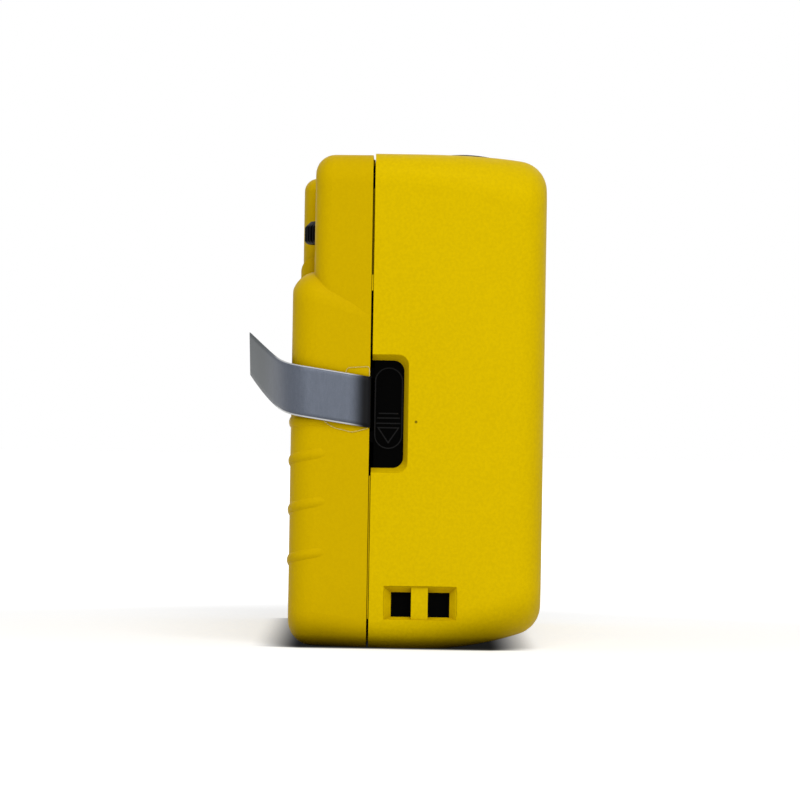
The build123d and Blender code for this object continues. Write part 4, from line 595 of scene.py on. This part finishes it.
# %% The way the strip runs
SEAL_START = Vector((-0.0582, 0.0062, 0.0289))
SEAL_WIDTH = 0.00665
SEAL_LENGTH = 0.033
SEAL_FLAT = 0.0077
SEAL_RISE = math.radians(8.5)
SEAL_TILT = math.radians(3.6)
SEAL_CURL = 0.00344
SEAL_TURN = math.radians(77.4)
SEAL_TWIST = math.radians(29.7)
TWIST_FROM = 0.53
SEAL_THICKNESS = 0.00012
TUCK_RADIUS = 0.00035
TUCK_DEPTH = 0.0006
TUCK_START = TUCK_RADIUS - 0.00005
ROLL_STEPS = 40


def rolled(reach):
    """How far a length of strip gets ahead and inward, its turn growing smoothly."""
    ahead, inward = min(reach, SEAL_FLAT), 0.0
    step = (reach - SEAL_FLAT) / ROLL_STEPS
    for i in range(ROLL_STEPS if step > 0.0 else 0):
        turn = SEAL_TURN * math.tanh((i + 0.5) * step / SEAL_CURL)
        ahead += step * math.cos(turn)
        inward += step * math.sin(turn)
    return ahead, inward


def seal_point(along, across):
    """Where a point of the flat strip goes once it is tucked in, turned, rolled and twisted."""
    tucked = max(-along, 0.0)
    along = max(along, 0.0)
    share = along / SEAL_LENGTH
    along += (1.0 - share) * across * math.tan(SEAL_RISE)
    twist = SEAL_TWIST * max(share - TWIST_FROM, 0.0) / (1.0 - TWIST_FROM)
    hang = (SEAL_WIDTH - across) * (1.0 - math.cos(twist))
    flat = Matrix.Rotation(SEAL_RISE, 2) @ Vector((along, across + hang))
    turned = Matrix.Rotation(SEAL_TILT, 2) @ flat
    ahead, inward = rolled(turned.x)
    inward += (SEAL_WIDTH - across) * math.sin(twist)
    flat = Matrix.Rotation(-SEAL_TILT, 2) @ Vector((ahead, turned.y))
    bend = min(tucked / TUCK_RADIUS, math.pi / 2)
    inward += TUCK_RADIUS * (1.0 - math.cos(bend)) + max(tucked - bend * TUCK_RADIUS, 0.0)
    ahead = TUCK_START + flat.x - TUCK_RADIUS * math.sin(bend)
    return SEAL_START + Vector((inward, ahead, flat.y))


print("the strip ends at, in mm:", [round(1000 * v, 1) for v in seal_point(SEAL_LENGTH, SEAL_WIDTH)])


# %% The strip itself
SEAL_STEPS = 96
SEAL_ROWS = 10


def piece_from(name, shape, finish):
    """Makes an object of a bmesh, in place, and gives it its finish."""
    mesh = bpy.data.meshes.new(name)
    shape.to_mesh(mesh)
    shape.free()
    mesh.materials.append(FINISHES[finish])
    made = bpy.data.objects.new(name, mesh)
    bpy.context.scene.collection.objects.link(made)
    return made


def torn_seal():
    shape = bmesh.new()
    shape.loops.layers.uv.new("along_and_across")
    bmesh.ops.create_grid(
        shape, x_segments=SEAL_STEPS, y_segments=SEAL_ROWS, size=0.5, calc_uvs=True,
    )
    full = SEAL_LENGTH + TUCK_DEPTH
    for point in shape.verts:
        share, across = point.co.x + 0.5, point.co.y + 0.5
        point.co = seal_point(full * share - TUCK_DEPTH, SEAL_WIDTH * across)
    for face in shape.faces:
        face.smooth = True
    seal = piece_from("torn_seal", shape, "foil")
    thick = seal.modifiers.new("thickness", "SOLIDIFY")
    thick.thickness = SEAL_THICKNESS
    thick.offset = 0.0
    return seal


seal = torn_seal()
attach(seal, "rear_cover")
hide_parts("seal_tab")
print("seal length in mm:", round(1000 * SEAL_LENGTH, 1))

# %% [markdown]
# ## Clear film under the seal
#
# The strip was part of a larger clear film. What is left of it is a patch as thin as a hair on the
# rear cover, which shows only by its cut edge. The whole patch could be made as clear plastic, but
# even the clearest sheet dims what lies so close under it. So only the edge is made: a face with a
# few corners gets rounded tips, is inset, and loses its middle. It lies just off the door's side.

# %% The clear film
FILM_THICKNESS = 0.00005
FILM_EDGE = 0.00012
FILM_ROUND = 0.0004
DOOR_SIDE_X = -0.058
DOOR_SIDE_SLOPE = 0.7 / 10.35
FILM_CORNERS = (
    (0.00632, 0.0370), (0.00935, 0.0368), (0.00965, 0.0357),
    (0.0124, 0.0297), (0.0111, 0.0288), (0.0085, 0.0282), (0.00632, 0.0288),
)


def film_edge():
    """A thin band round the outline of the film; what lies inside it can't be seen."""
    shape = bmesh.new()
    corners = []
    for y, z in FILM_CORNERS:
        x = DOOR_SIDE_X + DOOR_SIDE_SLOPE * (y - FILM_CORNERS[0][0]) - FILM_THICKNESS
        corners.append(shape.verts.new((x, y, z)))
    shape.faces.new(corners)
    bmesh.ops.bevel(
        shape, geom=shape.verts[:], offset=FILM_ROUND, segments=3, profile=0.5,
        affect="VERTICES", material=-1,
    )
    bmesh.ops.inset_region(
        shape, faces=shape.faces[:], thickness=FILM_EDGE, use_boundary=True, use_even_offset=True,
    )
    inner = max(shape.faces, key=lambda face: face.calc_area())
    bmesh.ops.delete(shape, geom=[inner], context="FACES_ONLY")
    bmesh.ops.recalc_face_normals(shape, faces=shape.faces)
    film = piece_from("film_edge", shape, "film_edge")
    thick = film.modifiers.new("thickness", "SOLIDIFY")
    thick.thickness = FILM_THICKNESS
    thick.offset = 0.0
    return film


film = film_edge()
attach(film, "rear_cover")
print("film edge has", len(film.data.polygons), "faces")

# %% [markdown]
# ## The lip in the seam
#
# The two covers don't meet with a plain gap: a thin lip of the front cover reaches into the rear
# one and keeps light out. Where it stands nearly flush, the seam closes to a hairline, and where it
# lies deeper, the seam is a thin brown line. One bar following the whole outline would be a sweep,
# but its depth changes from place to place. So each length of lip is a slim bar with rounded edges.

# %% The lip: low X, high X, low Z and high Z of each length
LIP_HALF = 0.00009
LIP_ROUND = 0.00003
LIPS = {
    "seam_lip_low": (-0.05782, -0.05702, 0.0038, 0.0226),
    "seam_lip_middle": (-0.05797, -0.05717, 0.0469, 0.0490),
    "seam_lip_high": (-0.0567, -0.0559, 0.0490, 0.0603),
    "seam_lip_top": (-0.0545, 0.0315, 0.0634, 0.0642),
    "seam_lip_base": (-0.0545, 0.0545, 0.0007, 0.0015),
}


def seam_lip(name, low_x, high_x, low_z, high_z):
    shape = bmesh.new()
    bmesh.ops.create_cube(shape, size=1.0)
    bmesh.ops.scale(shape, vec=(high_x - low_x, 2 * LIP_HALF, high_z - low_z), verts=shape.verts)
    middle = ((low_x + high_x) / 2, SEAM_Y, (low_z + high_z) / 2)
    bmesh.ops.translate(shape, vec=middle, verts=shape.verts)
    bmesh.ops.bevel(
        shape, geom=shape.edges[:], offset=LIP_ROUND, segments=2, profile=0.5,
        affect="EDGES", material=-1,
    )
    return piece_from(name, shape, "yellow_plastic")


for name, ends in LIPS.items():
    lip = seam_lip(name, *ends)
    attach(lip, "case")
    print(name, "is", round(1000 * max(ends[1] - ends[0], ends[3] - ends[2]), 1), "mm long")

# %% [markdown]
# ## The skin of the ledge
#
# Behind the finder block the rear cover steps out over the film chamber, and its upper edge is
# rounded. The wall is thinnest there, and in the solid it is open along a narrow slit. A boolean
# could mend it, but the frame's solids are left alone. So a skin of the same plastic closes it: a
# flat grid rolled to the radius of the edge, with a little thickness inward.

# %% The ledge skin
LEDGE_AXIS = (0.01325, 0.04597)
LEDGE_RADIUS = 0.003405
LEDGE_FROM, LEDGE_TO = math.radians(52.0), math.radians(76.0)
LEDGE_HALF = 0.0532
LEDGE_THICKNESS = 0.0006
LEDGE_STEPS = 24
LEDGE_ROWS = 12


def ledge_skin():
    shape = bmesh.new()
    bmesh.ops.create_grid(shape, x_segments=LEDGE_STEPS, y_segments=LEDGE_ROWS, size=0.5)
    axis_y, axis_z = LEDGE_AXIS
    for point in shape.verts:
        turn = LEDGE_TO - (point.co.y + 0.5) * (LEDGE_TO - LEDGE_FROM)
        rolled_y = axis_y + LEDGE_RADIUS * math.cos(turn)
        rolled_z = axis_z + LEDGE_RADIUS * math.sin(turn)
        point.co = (2.0 * point.co.x * LEDGE_HALF, rolled_y, rolled_z)
    for face in shape.faces:
        face.smooth = True
    skin = piece_from("ledge_skin", shape, "yellow_plastic")
    thick = skin.modifiers.new("thickness", "SOLIDIFY")
    thick.thickness = LEDGE_THICKNESS
    thick.offset = -1.0
    return skin


skin = ledge_skin()
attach(skin, "rear_cover")
print("ledge skin is", round(2000 * LEDGE_HALF, 1), "mm long")

# %% [markdown]
# ## Floor, backdrop and light
#
# The object stood on a white sheet lit from below, the usual way to get a pure white ground. Lamps
# strong enough to turn plain paper white would wash the yellow out. So the sheet adds a glow that
# only the viewer sees, straight or in a mirror: it throws little light back up, so the underside
# stays dark, and it still takes a soft shadow. Close to the flat base both tone and glow fade, a
# painted contact shadow that grounds the case.

# %% Floor and backdrop
BASE_CENTRE = (0.0, 0.0025, 0.0)
BASE_HALF = (0.0578, 0.0125)
SHEET_TONE = 0.75
SHEET_GLOW = 0.52
CONTACT_SHADOW_REACH = 0.007
CONTACT_SHADOW_TONE, CONTACT_SHADOW_GLOW = 0.02, 0.01
FAR_FROM, FAR_TO = 0.05, 0.16


def lit_sheet():
    """White sheet lit from below: it shows white, still takes the shadow of the case, and darkens near
    its base as a painted contact shadow.
    """
    finish = Finish("lit_sheet")
    centred = finish.place(centre=BASE_CENTRE)
    beyond = []
    for axis, half in zip("XY", BASE_HALF):
        from_base = finish.node("ShaderNodeSeparateXYZ", {}, {0: centred}, out=axis)
        away = finish.node("ShaderNodeMath", {"operation": "ABSOLUTE"}, {0: from_base}) - half
        beyond.append(finish.node("ShaderNodeMath", {"operation": "MAXIMUM"}, {0: away, 1: 0.0}))
    reach = beyond[0] + beyond[1]
    # painted contact shadow: tone and glow drop close to the base
    tone = finish.fade(reach, 0.0, CONTACT_SHADOW_REACH, CONTACT_SHADOW_TONE, SHEET_TONE)
    near = finish.fade(reach, 0.0, CONTACT_SHADOW_REACH, CONTACT_SHADOW_GLOW, SHEET_GLOW)
    far = finish.fade(reach, FAR_FROM, FAR_TO, 0.0, 1.0 - SHEET_GLOW)
    lit = finish.seen() * (near + far)
    sheet = finish.node("ShaderNodeBsdfDiffuse", {}, {"Color": finish.blend(tone, BLACK, WHITE)})
    glow = finish.node("ShaderNodeEmission", {}, {"Color": (*WHITE, 1.0), "Strength": lit})
    both = finish.node("ShaderNodeAddShader", {}, {0: sheet, 1: glow})
    finish.node("ShaderNodeOutputMaterial", {}, {"Surface": both})
    return finish.material


FLOOR_HALF = 3.0
surface = bmesh.new()
bmesh.ops.create_grid(surface, x_segments=1, y_segments=1, size=FLOOR_HALF)
paper = bpy.data.meshes.new("floor")
surface.to_mesh(paper)
surface.free()
paper.materials.append(lit_sheet())
floor = bpy.data.objects.new("floor", paper)
bpy.context.scene.collection.objects.link(floor)
print("floor is", 2 * FLOOR_HALF, "m wide")

# %% The world: soft light that shows as white
WORLD_LIGHT = 0.36
world = bpy.data.worlds.new("studio")
bpy.context.scene.world = world
sky = Net(world)
strength = WORLD_LIGHT + (1.0 - WORLD_LIGHT) * sky.seen()
glow = sky.node("ShaderNodeBackground", {}, {"Color": (*WHITE, 1.0), "Strength": strength})
sky.node("ShaderNodeOutputWorld", {}, {"Surface": glow})
print("world light", WORLD_LIGHT)


# %% Two soft lamps
AIM = (0.0, 0.0, 0.03)
KEY_PLACE, KEY_SIZE, KEY_POWER = (-0.95, -0.15, 1.1), 0.8, 8.6
FILL_PLACE, FILL_SIZE, FILL_POWER = (-1.3, -0.1, 0.1), 0.7, 4.5


def soft_lamp(name, place, size, power):
    lamp = bpy.data.lights.new(name, "AREA")
    lamp.shape = "DISK"
    lamp.size = size
    lamp.energy = power
    holder = bpy.data.objects.new(name, lamp)
    bpy.context.scene.collection.objects.link(holder)
    holder.location = place
    holder.rotation_mode = "QUATERNION"
    holder.rotation_quaternion = (Vector(AIM) - Vector(place)).to_track_quat("-Z", "Y")


soft_lamp("key", KEY_PLACE, KEY_SIZE, KEY_POWER)
soft_lamp("fill", FILL_PLACE, FILL_SIZE, FILL_POWER)

# %% Colours as they are written
bpy.context.scene.view_settings.view_transform = "Standard"
print("view transform:", bpy.context.scene.view_settings.view_transform)

# %% [markdown]
# ## The size of the dressed camera
#
# The dressed camera has to stay as large as its solids.
